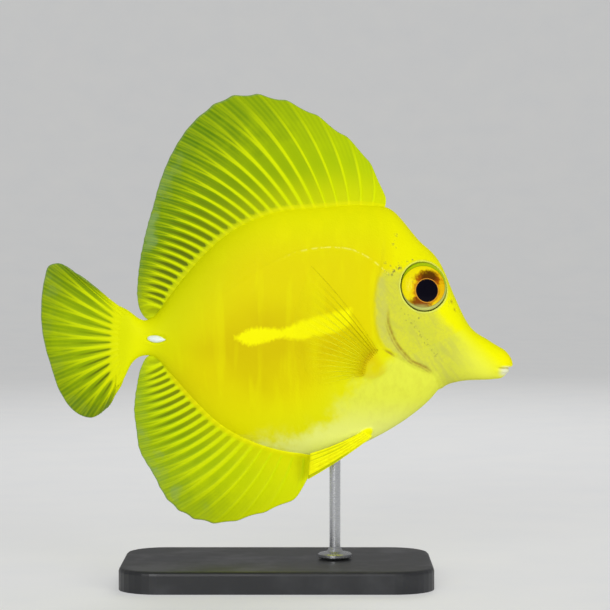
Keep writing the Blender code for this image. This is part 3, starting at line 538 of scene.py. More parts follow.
def speck_mask(x, z):
    """The small grey specks round the eye."""
    rng = np.random.default_rng(5)
    specks = list(SPECKS)
    for start, end, aside, count in SCATTER:
        for share, off_x, off_z, size, dark in rng.uniform(size=(count, 5)):
            place = between((start, end), share) + aside * np.array([2 * off_x - 1, 2 * off_z - 1])
            specks.append((*place, 0.07 + 0.1 * size, 0.07 + 0.1 * size, 0.25 + 0.4 * dark))
    mask = np.zeros_like(x)
    for centre_x, centre_z, wide, high, dark in specks:
        off = np.hypot((x - centre_x) / wide, (z - centre_z) / high)
        mask = np.maximum(mask, dark * ease(1.25, 0.7, off))
    return mask


def build_skin():
    """One skin over the head, jaw, gill covers, trunk and tail stalk."""
    rings = skin_rings()
    x, z = rings[..., 0], rings[..., 2]
    gill, crease, band, ahead = gill_form(x, z)
    mouth, slit, lip_pale = mouth_form(x, z)
    pad, pelvic = blob(x, z, PECTORAL_PAD), blob(x, z, PELVIC_PAD)
    far, _, share = near_line(x, z, PECTORAL_NOTCH, 12)
    notch = bell(far, 0.2) * np.sin(np.pi * np.clip(share, 0.08, 0.92))
    pits = np.max([bell(np.hypot(x - a, z - b), radius * 0.7) for a, b, radius in NOSTRILS], axis=0)
    far, _, share = near_line(x, z, LATERAL_LINE, 60)
    line = bell(far, 0.11) * ease(0.5, 0.32, share)
    sheath = np.hypot((x - SPINE[0]) / (SPINE_HALF[0] + 0.3), (z - SPINE[1]) / (SPINE_HALF[2] + 0.25))
    relief = gill + mouth + PECTORAL_PAD[5] * pad + PELVIC_PAD[5] * np.sqrt(pelvic)
    relief += 0.05 * bell(far, 0.18) * ease(0.95, 0.5, share) - 0.26 * notch - 0.3 * pits
    relief += 0.06 * bell(sheath - 1.2, 0.24) - 0.22 * ease(1, 0.7, sheath)
    out = np.cross(np.roll(rings, -1, 1) - np.roll(rings, 1, 1), np.gradient(rings, axis=0))
    moved = rings + relief[..., None] * unit(out)
    rims = np.zeros_like(x)
    for side in (-1, 1):
        moved, rim = orbit_form(moved, side)
        rims = np.maximum(rims, rim)
    belly, cheek, snout, by_belly = zones(x, z, ahead)
    inside = (smooth(STRIPE_TOP, x) - z, z - smooth(STRIPE_FOOT, x), x - STRIPE_ENDS[0], STRIPE_ENDS[1] - x)
    behind_pad = ease(1.6, -1.2, x - 20.2 + 0.8 * (z - 44.4)) * (0.5 + 0.5 * ease(42.5, 46, z))
    masks = {
        "crease": crease, "notch": notch, "band": band, "slit": slit, "pits": pits, "lip": lip_pale,
        "pad": ease(0, 0.45, pad) * behind_pad, "pelvic": ease(0, 0.35, pelvic), "line": line,
        "rim": np.clip(rims, 0, 1), "stripe": np.clip(np.min(inside, axis=0), -2, 2), "belly": belly,
        "cheek": cheek, "snout": snout, "side": by_belly, "specks": speck_mask(x, z),
    }
    masks = {key: np.append(v.ravel(), [0, 0]) for key, v in masks.items()}
    return mesh_object("skin", with_middles(moved), tube_faces(*x.shape), masks)


def ray_profile(phase, reach, spiny, widths):
    """How much of a ray is at each point: 1 on its ridges, 0 on the skin between rays.

    phase is the distance to the nearest ray in steps between rays, reach the share along it, and
    spiny 1 where the ray is an unbranched spine."""
    soft = 1 - spiny
    first = 0.16 * ease(0.35, 0.85, reach) * soft
    second = 0.085 * ease(0.65, 1, reach) * soft
    width = between(widths, ease(0.2, 0.85, reach)) * soft + 0.36 * sum(widths) * spiny
    ridges = [bell(phase - a * first - b * second, width) for a in (-1, 1) for b in (-1, 1)]
    return np.max(ridges, axis=0)


def fin_piece(name, lines, slots=None, fillet=None):
    """A fin as a fine closed sheet.

    lines(place) gives for places along the fin its roots, tips and bows; slots(share) the reach,
    half width, depth of colour and start of the dark skin between the rays; and fillet how much
    the root is thicker and how far that runs out."""
    count, rows, thick, widths, dive, drawn = FIN_SIZES[name.split("_")[0]]
    place = np.linspace(0, count - 1, (count - 1) * RAY_STEPS + 1)
    share, roots, tips, bows, spiny, depth = lines(place)
    length = np.linalg.norm(tips - roots, axis=1)
    sunk = -depth / length
    s = sunk[:, None] + (1 - sunk[:, None]) * np.linspace(0, 1, rows)
    phase = (place + 0.5) % 1 - 0.5
    rng = np.random.default_rng(len(name))
    wobble = np.interp(place, np.arange(count), rng.uniform(-1, 1, count))
    front = ease(9, 4, place)
    inward = (drawn[0] * front + drawn[1] * (1 - front)) * (1 - bell(phase, 0.26)) + drawn[1] * wobble
    ways = (tips - roots) * (1 - inward / np.maximum(length, 5))[:, None]
    sc = s[:, :, None]
    middle = roots[:, None] + ways[:, None] * sc + 4 * sc * (1 - sc) * bows[:, None]
    middle += np.clip(sc / sunk[:, None, None], 0, 1) * np.asarray(dive)
    normal = unit(np.cross(np.gradient(middle, axis=0), np.gradient(middle, axis=1)))
    reach = np.clip(s, 0, 1)
    ray = ray_profile(phase[:, None], reach, spiny[:, None], widths)
    away = reach * length[:, None]
    ray_half, web_half = (between(ends, reach) for ends in thick)
    half = web_half + (ray_half - web_half) * ray * (ease(-0.3, 1.6, away) if fillet else 1)
    if fillet:
        ends = (ease(0, 1.5, place) * ease(count - 1, count - 2.5, place))[:, None]
        out = s * length[:, None]
        half += fillet[0] * np.exp(-np.maximum(out, -0.3) / fillet[1]) * ends * ease(-1.3, -0.5, out)
    edge = np.clip((1 - reach) / 0.02, 0, 1)
    side = np.clip(np.minimum(place, count - 1 - place) / 0.35, 0, 1)[:, None]
    half = FIN_RIM + (half - FIN_RIM) * np.sqrt(edge * (2 * side - side**2))
    offset = normal * half[:, :, None]
    points = np.concatenate([(middle + offset).reshape(-1, 3), (middle - offset).reshape(-1, 3)])
    here = np.arange(s.size).reshape(s.shape)
    face = quads(here[:, :-1], here[:, 1:])
    rim = np.concatenate([here[:, 0], here[-1, 1:], here[-2::-1, -1], here[0, -2:0:-1]])
    after = np.roll(rim, -1)
    sides = np.stack([after, rim, rim + s.size, after + s.size], 1)
    masks = {"ray": ray, "reach": reach, "share": share[:, None], "away": away}
    if slots:
        end, wide, dark, start = (np.broadcast_to(v, share.shape)[:, None] for v in slots(share))
        ends = np.sqrt(np.clip((away - start) / 0.6, 0, 1)) * ease(1.05, 0.3, reach / end) ** 0.7
        across = wide * ends - (0.5 - np.abs(phase))[:, None]
        masks["slot"] = dark * ease(-0.07, 0.09, across) * ease(0, 0.2, ends)
        fine = 0.5 + 0.5 * np.cos(2 * np.pi * 4 * phase)[:, None]
        # the split ends of the rays further out, and painted shade on the skin between rays: darkest just
        # behind each ray, lighter towards the next
        masks["fine"] = 0.55 * fine * ease(0.4, 0.75, reach) + 0.6 * (place % 1)[:, None] ** 1.5
        soft = 0.3 + 0.25 * start
        masks["flesh"] = ease(soft, -soft, away - start + 0.3 - 0.6 * start * ray)
    masks = {key: np.tile(np.broadcast_to(v, s.shape).ravel(), 2) for key, v in masks.items()}
    return mesh_object(name, points, [face, face[:, ::-1] + s.size, sides], masks)


def in_space(line, y=0):
    """Points of the side view as points in space, this far to the left."""
    return np.stack(np.broadcast_arrays(line[:, 0], y, line[:, 1]), 1)


def median_lines(line, span, edge, count, fan, crowding, wave, side):
    """The rays of the dorsal fin, side 1, or the anal fin, side -1."""
    steps = np.linspace(1, 1 - crowding, count - 1)
    shares = np.concatenate([[0], np.cumsum(steps)]) / steps.sum()

    def lines(place):
        share = np.interp(place, np.arange(count), shares)
        places = np.linspace(*span, 400)
        skin = np.stack([places, smooth(line, places)], 1)
        away = np.gradient(skin, axis=0)
        away = unit(np.stack([away[:, 1], -away[:, 0]], 1)) * np.sign(span[0] - span[1]) * side
        clear = GAP - 0.9 * ease(-20.5, -23.9, places)[:, None]
        root = along(skin + clear * away, share)
        tip = along(edge, smooth(fan, share))
        y = wave[0] * np.sin(2 * math.pi * wave[1] * share) * np.sin(math.pi * share)
        bend = np.stack([tip[:, 1] - root[:, 1], root[:, 0] - tip[:, 0]], 1) * RAY_BOW * side
        spiny = ease(SPINE_RAYS + 2, SPINE_RAYS, place)
        return share, in_space(root), in_space(tip, y), in_space(bend), spiny, FIN_SINK

    return lines


def tail_lines(place):
    """The rays of the tail fin."""
    share = place / (TAIL_RAYS - 1)
    low = share**5
    top, bottom, _, _ = (float(v) for v in section(TAIL_END))
    z = top - TAIL_INSET - (top - bottom - 2 * TAIL_INSET) * share
    flat = np.zeros(len(place))
    roots = np.stack([flat + TAIL_END - GAP, flat, z], 1)
    tip = along(TAIL_EDGE, share)
    long = np.hypot(tip[:, 0] - roots[:, 0], tip[:, 1] - z)
    y = (TAIL_CURL * share**2.2 - TAIL_SWEEP * (1 - share) ** 2) * ease(1.5, 10, long)
    roots[:, 2] += 0.3 * low
    bows = np.stack([0.3 * (1 - 2 * share) + 0.6 * low, -0.25 * y, -0.4 * (1 - 2 * share) - 0.4 * low], 1)
    return share, roots, in_space(tip, y), bows, flat, 2.2 - 1.7 * low


def pectoral_lines(place):
    """The rays of the right pectoral fin."""
    share = place / (PECTORAL_RAYS - 1)
    root = along(PECTORAL_ROOTS, share)
    angle = np.radians(between(PECTORAL_ANGLES, share**1.25))
    spread = np.radians(between(PECTORAL_SPREAD, share))
    length = between(PECTORAL_LENGTHS, (1 - share) ** 0.75)
    roots = in_space(root, -flank(root[:, 0], root[:, 1]) - PECTORAL_OUT)
    ways = np.stack([np.cos(angle) * np.cos(spread), -np.sin(spread), np.sin(angle) * np.cos(spread)], 1)
    bows = np.multiply.outer(length, PECTORAL_BOW)
    return share, roots, roots + ways * length[:, None], bows, ease(1.4, 0.4, place), FIN_SINK


def pelvic_lines(place):
    """The rays of the right pelvic fin."""
    share = place / (PELVIC_RAYS - 1)
    root = between(PELVIC_ROOTS, share)
    out = -flank(root[:, 0], root[:, 1]) - PELVIC_OUT
    tips = in_space(between(PELVIC_TIPS, share), between((out[0], out[-1]), share) - PELVIC_SPLAY)
    bows = np.tile(PELVIC_BOW, (len(place), 1))
    return share, in_space(root, out), tips, bows, ease(1.4, 0.4, place), PELVIC_SINK


def dorsal_slots(share):
    """The dark skin between the rays: its reach, half width, depth of colour and start."""
    dark = 0.95 * ease(0.1, 0.7, share) * ease(1.02, 0.94, share)
    return 0.95 - 0.15 * share, 0.3 - 0.05 * ease(0.3, 0.7, share), dark, 0.35


def anal_slots(share):
    dark = 0.8 * ease(0.15, 0.8, share) * ease(1.02, 0.93, share)
    return 0.9 - 0.1 * share, 0.28 - 0.04 * ease(0.3, 0.7, share), dark, 0.3


def tail_slots(share):
    dark = ease(0.08, 0.28, share) * ease(0.93, 0.8, share)
    return 0.7, 0.16, dark, 2.6 + 5 * (share - 0.45) ** 2 + 5 * np.clip(share - 0.6, 0, 1)


def mirrored(obj, name):
    """A copy on the fish's other side."""
    other = obj.copy()
    other.data = obj.data.copy()
    other.name = other.data.name = name
    other.data.transform(Matrix.Diagonal((1, -1, 1, 1)))
    other.data.flip_normals()
    scene.collection.objects.link(other)
    return other


def dome(name, side):
    """The eye of one side, with its own forward and up as masks."""
    shares = np.concatenate([np.linspace(0.01, 1, 60), np.linspace(0.98, 0.3, 10)])
    rise = EYE_DOME[0] + EYE_DOME[1] * np.clip(1 - shares**2.3, 0, 1) ** 0.62
    rise[60:] = EYE_DOME[0] - np.linspace(0.3, 1.6, 10)
    turns = circle(160)
    across = EYE_WIDE[0] * shares[:, None] * np.cos(turns)
    up = EYE_WIDE[1] * shares[:, None] * np.sin(turns)
    local = np.stack([across, up, np.broadcast_to(rise[:, None], up.shape)], 2)
    local = with_middles(local)
    matrix = np.array(eye_matrix(side))
    points = local @ matrix[:3, :3].T + matrix[:3, 3]
    faces = tube_faces(len(shares), len(turns))
    return mesh_object(name, points, faces, {"fore": -side * local[:, 0], "rise": local[:, 1]})


def blade(name):
    """The blade of the right side of the tail stalk: a lens that ends in a point at the front."""
    shares = np.sin(np.linspace(-0.497 * np.pi, 0.497 * np.pi, 40))
    turns = circle(40)
    round_it = np.sqrt(np.clip(1 - shares**2, 0, 1)) * (1 - 0.55 * np.clip(shares, 0, 1) ** 1.5)
    keel = 1 + 0.06 * np.cos(4 * turns)
    y = SPINE_HALF[1] * round_it[:, None] * np.cos(turns) * keel
    z = SPINE_HALF[2] * round_it[:, None] * np.sin(turns)
    local = with_middles(np.stack([np.broadcast_to(SPINE_HALF[0] * shares[:, None], y.shape), y, z], 2))
    x, height = SPINE
    turn = Matrix.Rotation(SPINE_TILT, 3, "Y") @ Matrix.Rotation(SPINE_TURN, 3, "Z")
    points = local @ np.array(turn).T + (x, -float(flank(x, height)), height)
    return mesh_object(name, points, [f[:, ::-1] for f in tube_faces(len(shares), len(turns))])


class Wire:
    """A value on its way through a material's nodes, to reckon with like a number."""

    def __init__(self, finish, socket):
        self.finish, self.socket = finish, socket

    def reckon(self, operation, other=0):
        return self.finish.node("ShaderNodeMath", {0: self, 1: other}, operation=operation)

    __add__ = partialmethod(reckon, "ADD")
    __sub__ = partialmethod(reckon, "SUBTRACT")
    __mul__ = partialmethod(reckon, "MULTIPLY")
    __truediv__ = partialmethod(reckon, "DIVIDE")
    __abs__ = partialmethod(reckon, "ABSOLUTE")
    most = partialmethod(reckon, "MAXIMUM")
    root = partialmethod(reckon, "SQRT")

    def step(self, low, high, to_low=0, to_high=1):
        """A smooth step, made as this value goes from low to high."""
        inputs = dict(enumerate((self, low, high, to_low, to_high)))
        return self.finish.node("ShaderNodeMapRange", inputs, interpolation_type="SMOOTHSTEP")

    def torn(self, noise):
        """A mask with noise along its border, where it is neither 0 nor 1."""
        return self + (self - self * self) * noise * 4


class Finish:
    """A material, with short calls for its nodes. Its lengths are in millimetres."""

    def __init__(self, name):
        self.made = bpy.data.materials.new(name)
        self.made.use_nodes = True
        self.tree = self.made.node_tree
        self.shader = self.tree.nodes["Principled BSDF"]
        self.place = self.node("ShaderNodeTexCoord", output="Object")
        self.place = self.stretched((1 / MM,) * 3)

    def node(self, kind, inputs=(), output=0, **settings):
        """One output of a new node, whose inputs get numbers, colours or wires."""
        made = self.tree.nodes.new(kind)
        for key, value in settings.items():
            setattr(made, key, value)
        for key, value in dict(inputs).items():
            self.put(made.inputs[key], value)
        return Wire(self, made.outputs[output])

    def put(self, socket, value):
        if isinstance(value, Wire):
            self.tree.links.new(value.socket, socket)
        elif socket.type == "RGBA":
            socket.default_value = (*value, 1)
        else:
            socket.default_value = value

    def mask(self, name):
        return self.node("ShaderNodeAttribute", output="Fac", attribute_name=name)

    def masks(self, *names):
        return [self.mask(name) for name in names]

    def stretched(self, by):
        """The place of each point, times three factors."""
        return self.node("ShaderNodeVectorMath", {0: self.place, 1: by}, operation="MULTIPLY")

    def noise(self, scale, detail=2, roughness=0.5, by=None, place=None):
        place = place or (self.stretched(by) if by else self.place)
        inputs = {"Vector": place, "Scale": scale, "Detail": detail, "Roughness": roughness}
        return self.node("ShaderNodeTexNoise", inputs, "Fac")

    def layers(self, colour, *layers):
        """A colour with others laid over it in turn, each by its share."""
        for share, over in layers:
            colour = self.node("ShaderNodeMix", {0: share, 6: colour, 7: over}, 2, data_type="RGBA")
        return colour

    def bump(self, height, strength, distance, under=None):
        inputs = {"Height": height, "Strength": strength, "Distance": distance * MM}
        if under:
            inputs["Normal"] = under
        return self.node("ShaderNodeBump", inputs)

    def set(self, **inputs):
        for key, value in inputs.items():
            self.put(self.shader.inputs[key.replace("_", " ")], value)
        return self.made

    def done(self, colour, grain, dull, bump, **inputs):
        """The finished material. Its roughness follows a grain between the two values of dull."""
        rough = grain.step(0.3, 0.7, *dull)
        return self.set(Base_Color=colour, Roughness=rough, Normal=self.bump(*bump), **inputs)


def flesh_colour(finish):
    """The body's yellow, which the fins' roots share, and the x and z of each point."""
    x, z = (finish.node("ShaderNodeSeparateXYZ", {0: finish.place}, axis) for axis in (0, 2))
    off = abs(x - DEEP_AT[0]) * 0.05 + abs(z - DEEP_AT[1]) * 0.08 + (finish.noise(0.08) - 0.5) * 1.2
    bars = finish.noise(0.4, by=(1, 1, 0.12))
    colour = finish.layers(
        BODY_DEEP,
        (off.step(0.2, 1.3), BODY_YELLOW),
        (z.step(62, 74), BACK_YELLOW),
        (z.step(42, 28), LOW_YELLOW),
        (bars.step(0.5, 0.7, 0, 0.36), LOW_YELLOW),
        ((x - z * 0.5).step(-34, -52), BACK_GREEN),
        (x.step(-20, -30, 0, 0.9), STALK_GREEN),
        (x.step(-26, -31), ROOT_GREEN),
        (x.step(18, 28, 0, 0.8), SNOUT_YELLOW),
    )
    return colour, x, z


def skin_bump(finish):
    """Fine close scales over soft unevenness."""
    inputs = {"Vector": finish.stretched((1, 1, 0.8)), "Scale": 3, "Randomness": 1}
    scales = finish.node("ShaderNodeTexVoronoi", inputs, "Distance")
    return scales, 0.3, 0.05, finish.bump(finish.noise(0.9, 3), 0.25, 0.12)


def skin_material():
    """The yellow skin with its markings, and painted shade in its notch, gill crease, mouth's slit and
    nostrils.
    """
    finish = Finish("tang_skin")
    mask = finish.mask
    flesh, x, z = flesh_colour(finish)
    fine = finish.noise(2.2, 3)
    soft = finish.noise(0.22, 3)
    ragged = finish.noise(0.7, 4, 0.6, by=(1, 1, 0.6))
    uneven = ragged - 0.5
    slant = finish.node("ShaderNodeCombineXYZ", {0: x * 0.8 + z * 0.6, 1: 0, 2: x * 0.12 - z * 0.16})
    cheek = finish.layers(
        PALE_YELLOW,
        (soft.step(0.42, 0.66), PALE_GREEN),
        (fine.step(0.42, 0.68, 0, 0.34), PALE_GREY),
        (finish.noise(0.8, 3, place=slant).step(0.46, 0.64, 0, 0.6), PALE_GREY),
        (x.step(33, 42, 0, 0.9), PALE_SNOUT),
    )
    belly = finish.layers(
        BELLY_MID,
        (ragged.step(0.4, 0.7, 0, 0.4), PALE_YELLOW),
        (z.step(38, 28), BELLY_PALE),
    )
    stripe = mask("stripe") + (finish.noise(1.9, 4, 0.6, by=(1, 1, 0.6)) - 0.5) * 1.8
    dashes = finish.noise(1.6, by=(1, 1, 0.3)).step(0.42, 0.56)
    colour = finish.layers(
        flesh,
        (mask("side") * 0.85, SIDE_YELLOW),
        (mask("belly").torn((soft - 0.5) * 3 + uneven).step(0, 1), belly),
        (mask("cheek").torn(uneven).step(0.1, 0.9, 0, 0.85), cheek),
        (mask("band") * ragged.step(0.3, 0.7, 0.15, 0.55), BAND_GREY),
        (mask("snout"), SNOUT_YELLOW),
        (x.step(43.5, 46.4) * z.step(42.9, 44.2) * 0.55, TIP_ORANGE),
        (stripe.step(-0.35, 0.7, 0, 0.9), BRIGHT_YELLOW),
        (mask("line") * dashes * 0.65, LINE_PALE),
        (mask("pelvic"), PELVIC_YELLOW),
        (mask("pad") * 0.6, PAD_ORANGE),
        # painted shade in the notch under the gill cover's edge
        (mask("notch") * 0.85, RECESS_SHADE),
        (mask("rim") * 0.85, RIM_PALE),
        # painted shade along the groove of the gill crease
        (mask("crease") * finish.noise(1.3, 3).step(0.3, 0.62, 0.4, 0.82), RECESS_SHADE),
        (mask("lip"), LIP_WHITE),
        # painted shade in the mouth's slit and in the nostril pits
        (mask("slit") * 0.5, RECESS_SHADE),
        (mask("pits") * 0.6, RECESS_SHADE),
        (mask("specks") * finish.noise(2.6).step(0.38, 0.5), SPECK_GREY),
    )
    return finish.done(colour, fine, (0.46, 0.6), skin_bump(finish), Specular_IOR_Level=0.06)


def fin_material(name, webs, near, blue_from, blue, lobed=False):
    """A fin of bright rays, with the skin between them darkest near its root and painted shade behind each
    ray.

    webs gives the colours of that skin at the front, at the rear and further out; near how far out,
    and how strongly, the body's yellow runs on over it; blue_from where along the fin its edge
    starts to turn blue, and blue how strongly; and lobed puts the third colour on two lobes."""
    finish = Finish(name)
    flesh, _, _ = flesh_colour(finish)
    ray, reach, share, away = finish.masks("ray", "reach", "share", "away")
    slot, fine, root = finish.masks("slot", "fine", "flesh")
    outer = reach + (finish.noise(0.3, 3) - 0.5) * 0.6
    if lobed:
        lower = share.step(0.6, 0.8, 0, 0.6) * share.step(0.99, 0.88)
        lobes = (share.step(0.4, 0.12, 0, 0.85) + lower) * away.step(4, 14)
        further = [(lobes, webs[2]), (outer.step(0.65, 1) * 0.5, webs[2])]
    else:
        further = [(outer.step(0.4, 0.9) * share.step(0.05, 0.4) * 0.9, webs[2])]
    slots = finish.layers(SLOT_OLIVE, (share.step(0.3, 0.8), SLOT_DARK))
    patches = finish.noise(0.26, 5, 0.6, by=(1, 1, 0.8)).step(0.46, 0.58)
    begins = share.step(blue_from - 0.15, blue_from + 0.15)
    fades = share.step(blue_from + 0.2, blue_from + 0.4, 1, 0.3)
    colour = finish.layers(
        webs[0],
        (share.step(0, 0.6), webs[1]),
        *further,
        (away.step(near[0], 0, 0, near[1]), flesh),
        (slot * 0.92, slots),
        (ray.step(0.15, 0.85) * reach.step(0.95, 0.35, 0.14, 0.95), RAY_YELLOW),
        # the split rays, and painted shade that leaves the skin just behind each ray darker
        (fine * 0.26, RAY_YELLOW),
        (outer.step(0.76, 1) * begins * fades * (patches + 0.35) * blue, EDGE_BLUE),
        (reach.step(0.98, 0.996, 0, 0.5), EDGE_BLUE),
        (root, flesh),
    )
    grain = finish.noise(1.2, 3, by=(3, 1, 3))
    return finish.done(colour, grain, (0.42, 0.56), (grain, 0.2, 0.06), Specular_IOR_Level=0.06)


def pectoral_material():
    """The clear skin of the pectoral fin between its fine rays, the first of them the darkest."""
    finish = Finish("tang_pectoral")
    ray, reach, away, share = finish.masks("ray", "reach", "away", "share")
    line, first = ray.step(0.15, 0.8), share.step(0.06, 0.01)
    rays = finish.layers(RAY_OLIVE, (share.step(0.12, 0.42), LINE_SOFT), (first, RAY_BROWN))
    colour = finish.layers(BODY_YELLOW, (line, rays), (away.step(3.5, 0.4, 0, 0.7), PAD_ORANGE))
    fade = reach.step(0.1, 0.95, 0.5, 0) + first * reach.step(1, 0.85, 0.15, 0.7)
    alpha = line * fade + reach.step(0.02, 0.5, 0.16, 0.03)
    grain = finish.noise(1)
    return finish.done(colour, grain, (0.5, 0.65), (grain, 0.2, 0.06), Alpha=alpha, Specular_IOR_Level=0)


def pelvic_material():
    """The bright pelvic fin, with olive streaks between some of its rays."""
    finish = Finish("tang_pelvic")
    ray, reach, share = finish.masks("ray", "reach", "share")
    streaks = share.step(0.28, 0.12).most(share.step(0.52, 0.62) * 0.6)
    streaks = ray.step(0.45, 0.05) * streaks * reach.step(0.2, 0.5) * 0.6
    grain = finish.noise(1)
    sheen = grain.step(0.4, 0.7, 0, 0.3)
    colour = finish.layers(PELVIC_YELLOW, (streaks, SLOT_OLIVE), (sheen, BODY_YELLOW))
    return finish.done(colour, grain, (0.42, 0.56), (grain, 0.2, 0.06), Specular_IOR_Level=0.14)


def eye_material():
    """The golden iris, brown above and below the pupil, under a clear cornea, with painted shadow in the
    groove round the eye.
    """
    finish = Finish("tang_eye")
    fore, rise = finish.masks("fore", "rise")

    def out(middle, half=(1, 1)):
        """How far out a point is from an oval's middle, 1 at its edge."""
        off_x, off_z = (fore - middle[0]) / half[0], (rise - middle[1]) / half[1]
        return (off_x * off_x + off_z * off_z).root()

    wisps, streaks = finish.noise(1.1, 5, 0.62), finish.noise(2.8, 3, 0.6)
    stray = (wisps - 0.5) * 1.3
    spread, disc, edge = out(PUPIL), out(IRIS_AT, IRIS), out((0, 0), EYE_WIDE)
    above, below, core = (out(*oval) + stray for oval in IRIS_BROWNS)
    below = below.step(1.2, 0.6)
    brown = above.step(1.15, 0.6).most(below).most((spread + stray).step(3, 2.4, 0, 0.6))
    dark = core.step(1.2, 0.5).most(below.step(0.5, 0.95, 0, 0.5))
    orange = (spread + stray).step(3.7, 2.5).most((fore - PUPIL[0]).step(0.8, 2.8))
    colour = finish.layers(
        IRIS_YELLOW,
        (orange, IRIS_ORANGE),
        (streaks.step(0.55, 0.75, 0, 0.4), IRIS_GREEN),
        (brown * 0.95, finish.layers(IRIS_AMBER, (dark, IRIS_BROWN))),
        (rise.step(-3.3, -4) * fore.step(1.5, -0.8) * 0.5, EYE_PALE),
        # the skin round the disc, greener above and paler below
        (disc.step(0.975, 1.01), finish.layers(EYE_PALE, (rise.step(-2.4, 1.6), EYE_GREEN))),
        (abs(disc - 1).step(0.03, 0.008) * 0.35, IRIS_BROWN),
        # painted shadow in the groove round the eye, strongest below and behind it
        (edge.step(0.95, 0.985) * (rise + fore * 0.7).step(2.6, -1.4, 0.15, 0.85), EYE_GROOVE_SHADE),
        (spread.step(PUPIL_RADIUS + 0.2, PUPIL_RADIUS + 0.12, 0, 0.8), IRIS_RING),
        (spread.step(PUPIL_RADIUS + 0.05, PUPIL_RADIUS - 0.03), PUPIL_BLACK),
    )
    relief = wisps * spread.step(PUPIL_RADIUS, PUPIL_RADIUS + 0.4)
    cornea = {"Coat_Weight": 0.2, "Coat_Roughness": 0.04, "Coat_IOR": 1.3, "Specular_IOR_Level": 0.06}
    return finish.done(colour, wisps, (0.35, 0.5), (relief, 0.4, 0.1), **cornea)


def blade_material():
    """Ivory white, like the edge of a tooth."""
    finish = Finish("tang_blade")
    streaks = finish.noise(1.4, 3, by=(0.6, 2, 3))
    colour = finish.layers(BLADE_WHITE, (streaks.step(0.4, 0.75, 0, 0.5), BLADE_IVORY))
    return finish.done(colour, streaks, (0.25, 0.4), (streaks, 0.15, 0.05))


def paint_material():
    """Black painted metal, with the faint orange peel of the paint."""
    finish = Finish("stand_paint")
    peel, dust = finish.noise(1.6), finish.noise(0.12, 4)
    colour = finish.layers(PAINT_BLACK, (dust.step(0.45, 0.8, 0, 0.6), PAINT_DUSTY))
    return finish.done(colour, dust, (0.36, 0.5), (peel, 0.25, 0.06))


def steel_material():
    """Steel with fine turned lines round the rod."""
    finish = Finish("stand_steel")
    rings = finish.noise(1.5, 3, by=(0.4, 0.4, 9))
    colour = finish.layers(STEEL_DARK, (rings, STEEL_LIGHT))
    return finish.done(colour, rings, (0.22, 0.36), (rings, 0.2, 0.03), Metallic=1)


def paper_material():
    """Pale matt studio paper, evenly lit from within."""
    finish = Finish("studio_paper")
    fibre = finish.noise(0.05, 3)
    colour = finish.layers(PAPER_COOL, (fibre, PAPER_WARM))
    finish.set(Emission_Color=colour, Emission_Strength=PAPER_GLOW, Specular_IOR_Level=0.2)
    return finish.set(Base_Color=colour, Roughness=0.85, Normal=finish.bump(fibre, 0.05, 0.2))


def turned(name, profile):
    """A surface turned about the Z axis from a profile of (radius, height)."""
    angle = circle(STAGE_TURNS)
    radius, height = np.array(profile, float).T[:, :, None]
    points = np.stack(np.broadcast_arrays(radius * np.cos(angle), radius * np.sin(angle), height), 2)
    here = np.arange(radius.size * STAGE_TURNS).reshape(-1, STAGE_TURNS)
    return mesh_object(name, points.reshape(-1, 3), [quads(np.roll(here, -1, 1), here)])


def build_stage():
    """The pale floor, and a wall that rises from it all round, which only the camera sees."""
    paper = paper_material()
    floor = turned("studio_floor", [(0.5, 0), (60, 0), (300, 0), (FLOOR_REACH, 0)])
    angles = np.linspace(0, 0.5 * math.pi, 16)
    bend = [(FLOOR_REACH + WALL_BEND * math.sin(a), WALL_BEND * (1 - math.cos(a))) for a in angles]
    wall = turned("studio_wall", [*bend, (FLOOR_REACH + WALL_BEND, WALL_TOP)])
    for flag in ("visible_diffuse", "visible_glossy", "visible_transmission", "visible_shadow"):
        setattr(wall, flag, False)
    for obj in (floor, wall):
        obj.data.materials.append(paper)


def aim(obj, place):
    """Puts an object at a place, in millimetres, with its -Z axis towards the fish."""
    obj.location = Vector(place) * MM
    obj.rotation_mode = "QUATERNION"
    obj.rotation_quaternion = (Vector(VIEW_CENTRE) - Vector(place)).to_track_quat("-Z", "Y")
    scene.collection.objects.link(obj)


def build_lights():
    """Soft studio light: a key above the camera, a low fill to its right, and one from behind."""
    for name, place, size, power in LAMPS:
        lamp = bpy.data.lights.new(name, "AREA")
        lamp.shape, lamp.size, lamp.energy, lamp.spread = "DISK", size * MM, power, LAMP_SPREAD
        obj = bpy.data.objects.new(name, lamp)
        obj.visible_camera = False
        obj.visible_glossy = name == "key"
        aim(obj, place)
    world = bpy.data.worlds.new("studio")
    world.use_nodes = True
    sky = world.node_tree.nodes["Background"].inputs
    sky["Color"].default_value = (1, 1, 1, 1)
    sky["Strength"].default_value = WORLD_LIGHT
    scene.world = world


def build_camera():
    """The photograph's view: level with the fish, square to its right side."""
    lens = bpy.data.cameras.new("camera")
    lens.lens, lens.sensor_width = VIEW_LENS, VIEW_SENSOR
    lens.clip_start, lens.clip_end = 0.01, 10
    far = VIEW_WIDTH * VIEW_LENS / VIEW_SENSOR
    back = Vector((0, -math.cos(VIEW_ELEVATION), math.sin(VIEW_ELEVATION))) * far
    camera = bpy.data.objects.new("camera", lens)
    aim(camera, Vector(VIEW_CENTRE) + back)
    scene.camera = camera
    scene.view_settings.view_transform = "Standard"


def coat(obj, material):
    """Gives an object one material in place of any that it has."""
    obj.data.materials.clear()
    obj.data.materials.append(material)


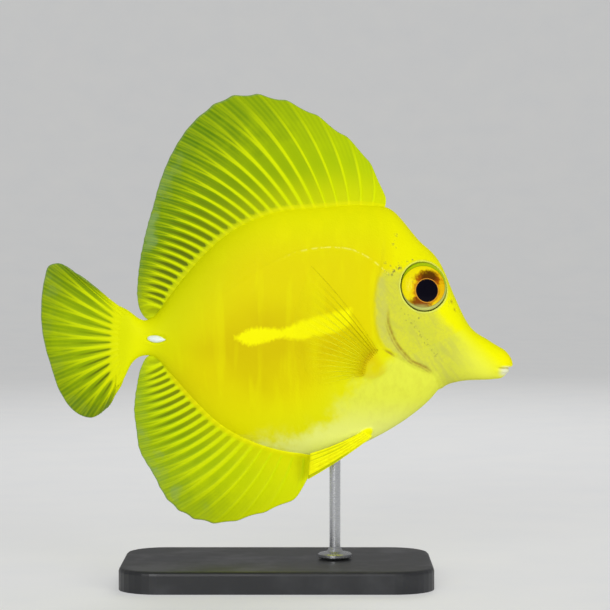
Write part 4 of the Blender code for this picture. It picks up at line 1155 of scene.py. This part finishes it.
def wear(obj, material, slot, *nodes):
    """Finishes a piece: its material, and the nodes that it stands for. Its slot is not used."""
    coat(obj, material)
    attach(obj, "root")
    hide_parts(*nodes)


def build_fins():
    """All the fins."""
    dorsal = fin_piece("dorsal_rays", median_lines(*DORSAL_SHAPE), dorsal_slots, FIN_FILLET)
    anal = fin_piece("anal_rays", median_lines(*ANAL_SHAPE), anal_slots, FIN_FILLET)
    tail = fin_piece("tail_rays", tail_lines, tail_slots)
    pectoral = fin_piece("pectoral_rays_right", pectoral_lines)
    pelvic = fin_piece("pelvic_rays_right", pelvic_lines)
    dorsal_skin = fin_material("tang_dorsal", (WEB_FRONT, WEB_GREEN, TOP_GREEN), (9, 0.55), 0.5, 0.5)
    anal_skin = fin_material("tang_anal", (WEB_LOW, WEB_ANAL, LOW_GREEN), (7, 0.5), 0.35, 0.5)
    tail_skin = fin_material("tang_tail", (WEB_TAIL, WEB_TAIL, WEB_LOBE), (9, 1), 0, 0.22, lobed=True)
    wear(dorsal, dorsal_skin, "fin", "dorsal_fin")
    wear(anal, anal_skin, "fin", "anal_fin")
    wear(tail, tail_skin, "fin", "tail_fin")
    clear, bright = pectoral_material(), pelvic_material()
    for name, right, material in (("pectoral", pectoral, clear), ("pelvic", pelvic, bright)):
        left = mirrored(right, f"{name}_rays_left")
        wear(right, material, "fin", f"{name}_fin_right")
        wear(left, material, "fin", f"{name}_fin_left")


def main():
    build_camera()
    build_lights()
    build_stage()
    flesh = ("head", "lower_jaw", "gill_cover_right", "gill_cover_left", "trunk", "tail_stalk")
    wear(build_skin(), skin_material(), "skin", *flesh)
    build_fins()
    iris = eye_material()
    for side, name in ((-1, "right"), (1, "left")):
        wear(dome(f"eyeball_{name}", side), iris, "eye", f"eye_{name}")
    ivory = blade_material()
    right = blade("spine_right")
    left = mirrored(right, "spine_left")
    wear(right, ivory, "blade", "tail_blade_right")
    wear(left, ivory, "blade", "tail_blade_left")
    coat(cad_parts["stand_base"], paint_material())
    coat(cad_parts["stand_rod"], steel_material())


main()
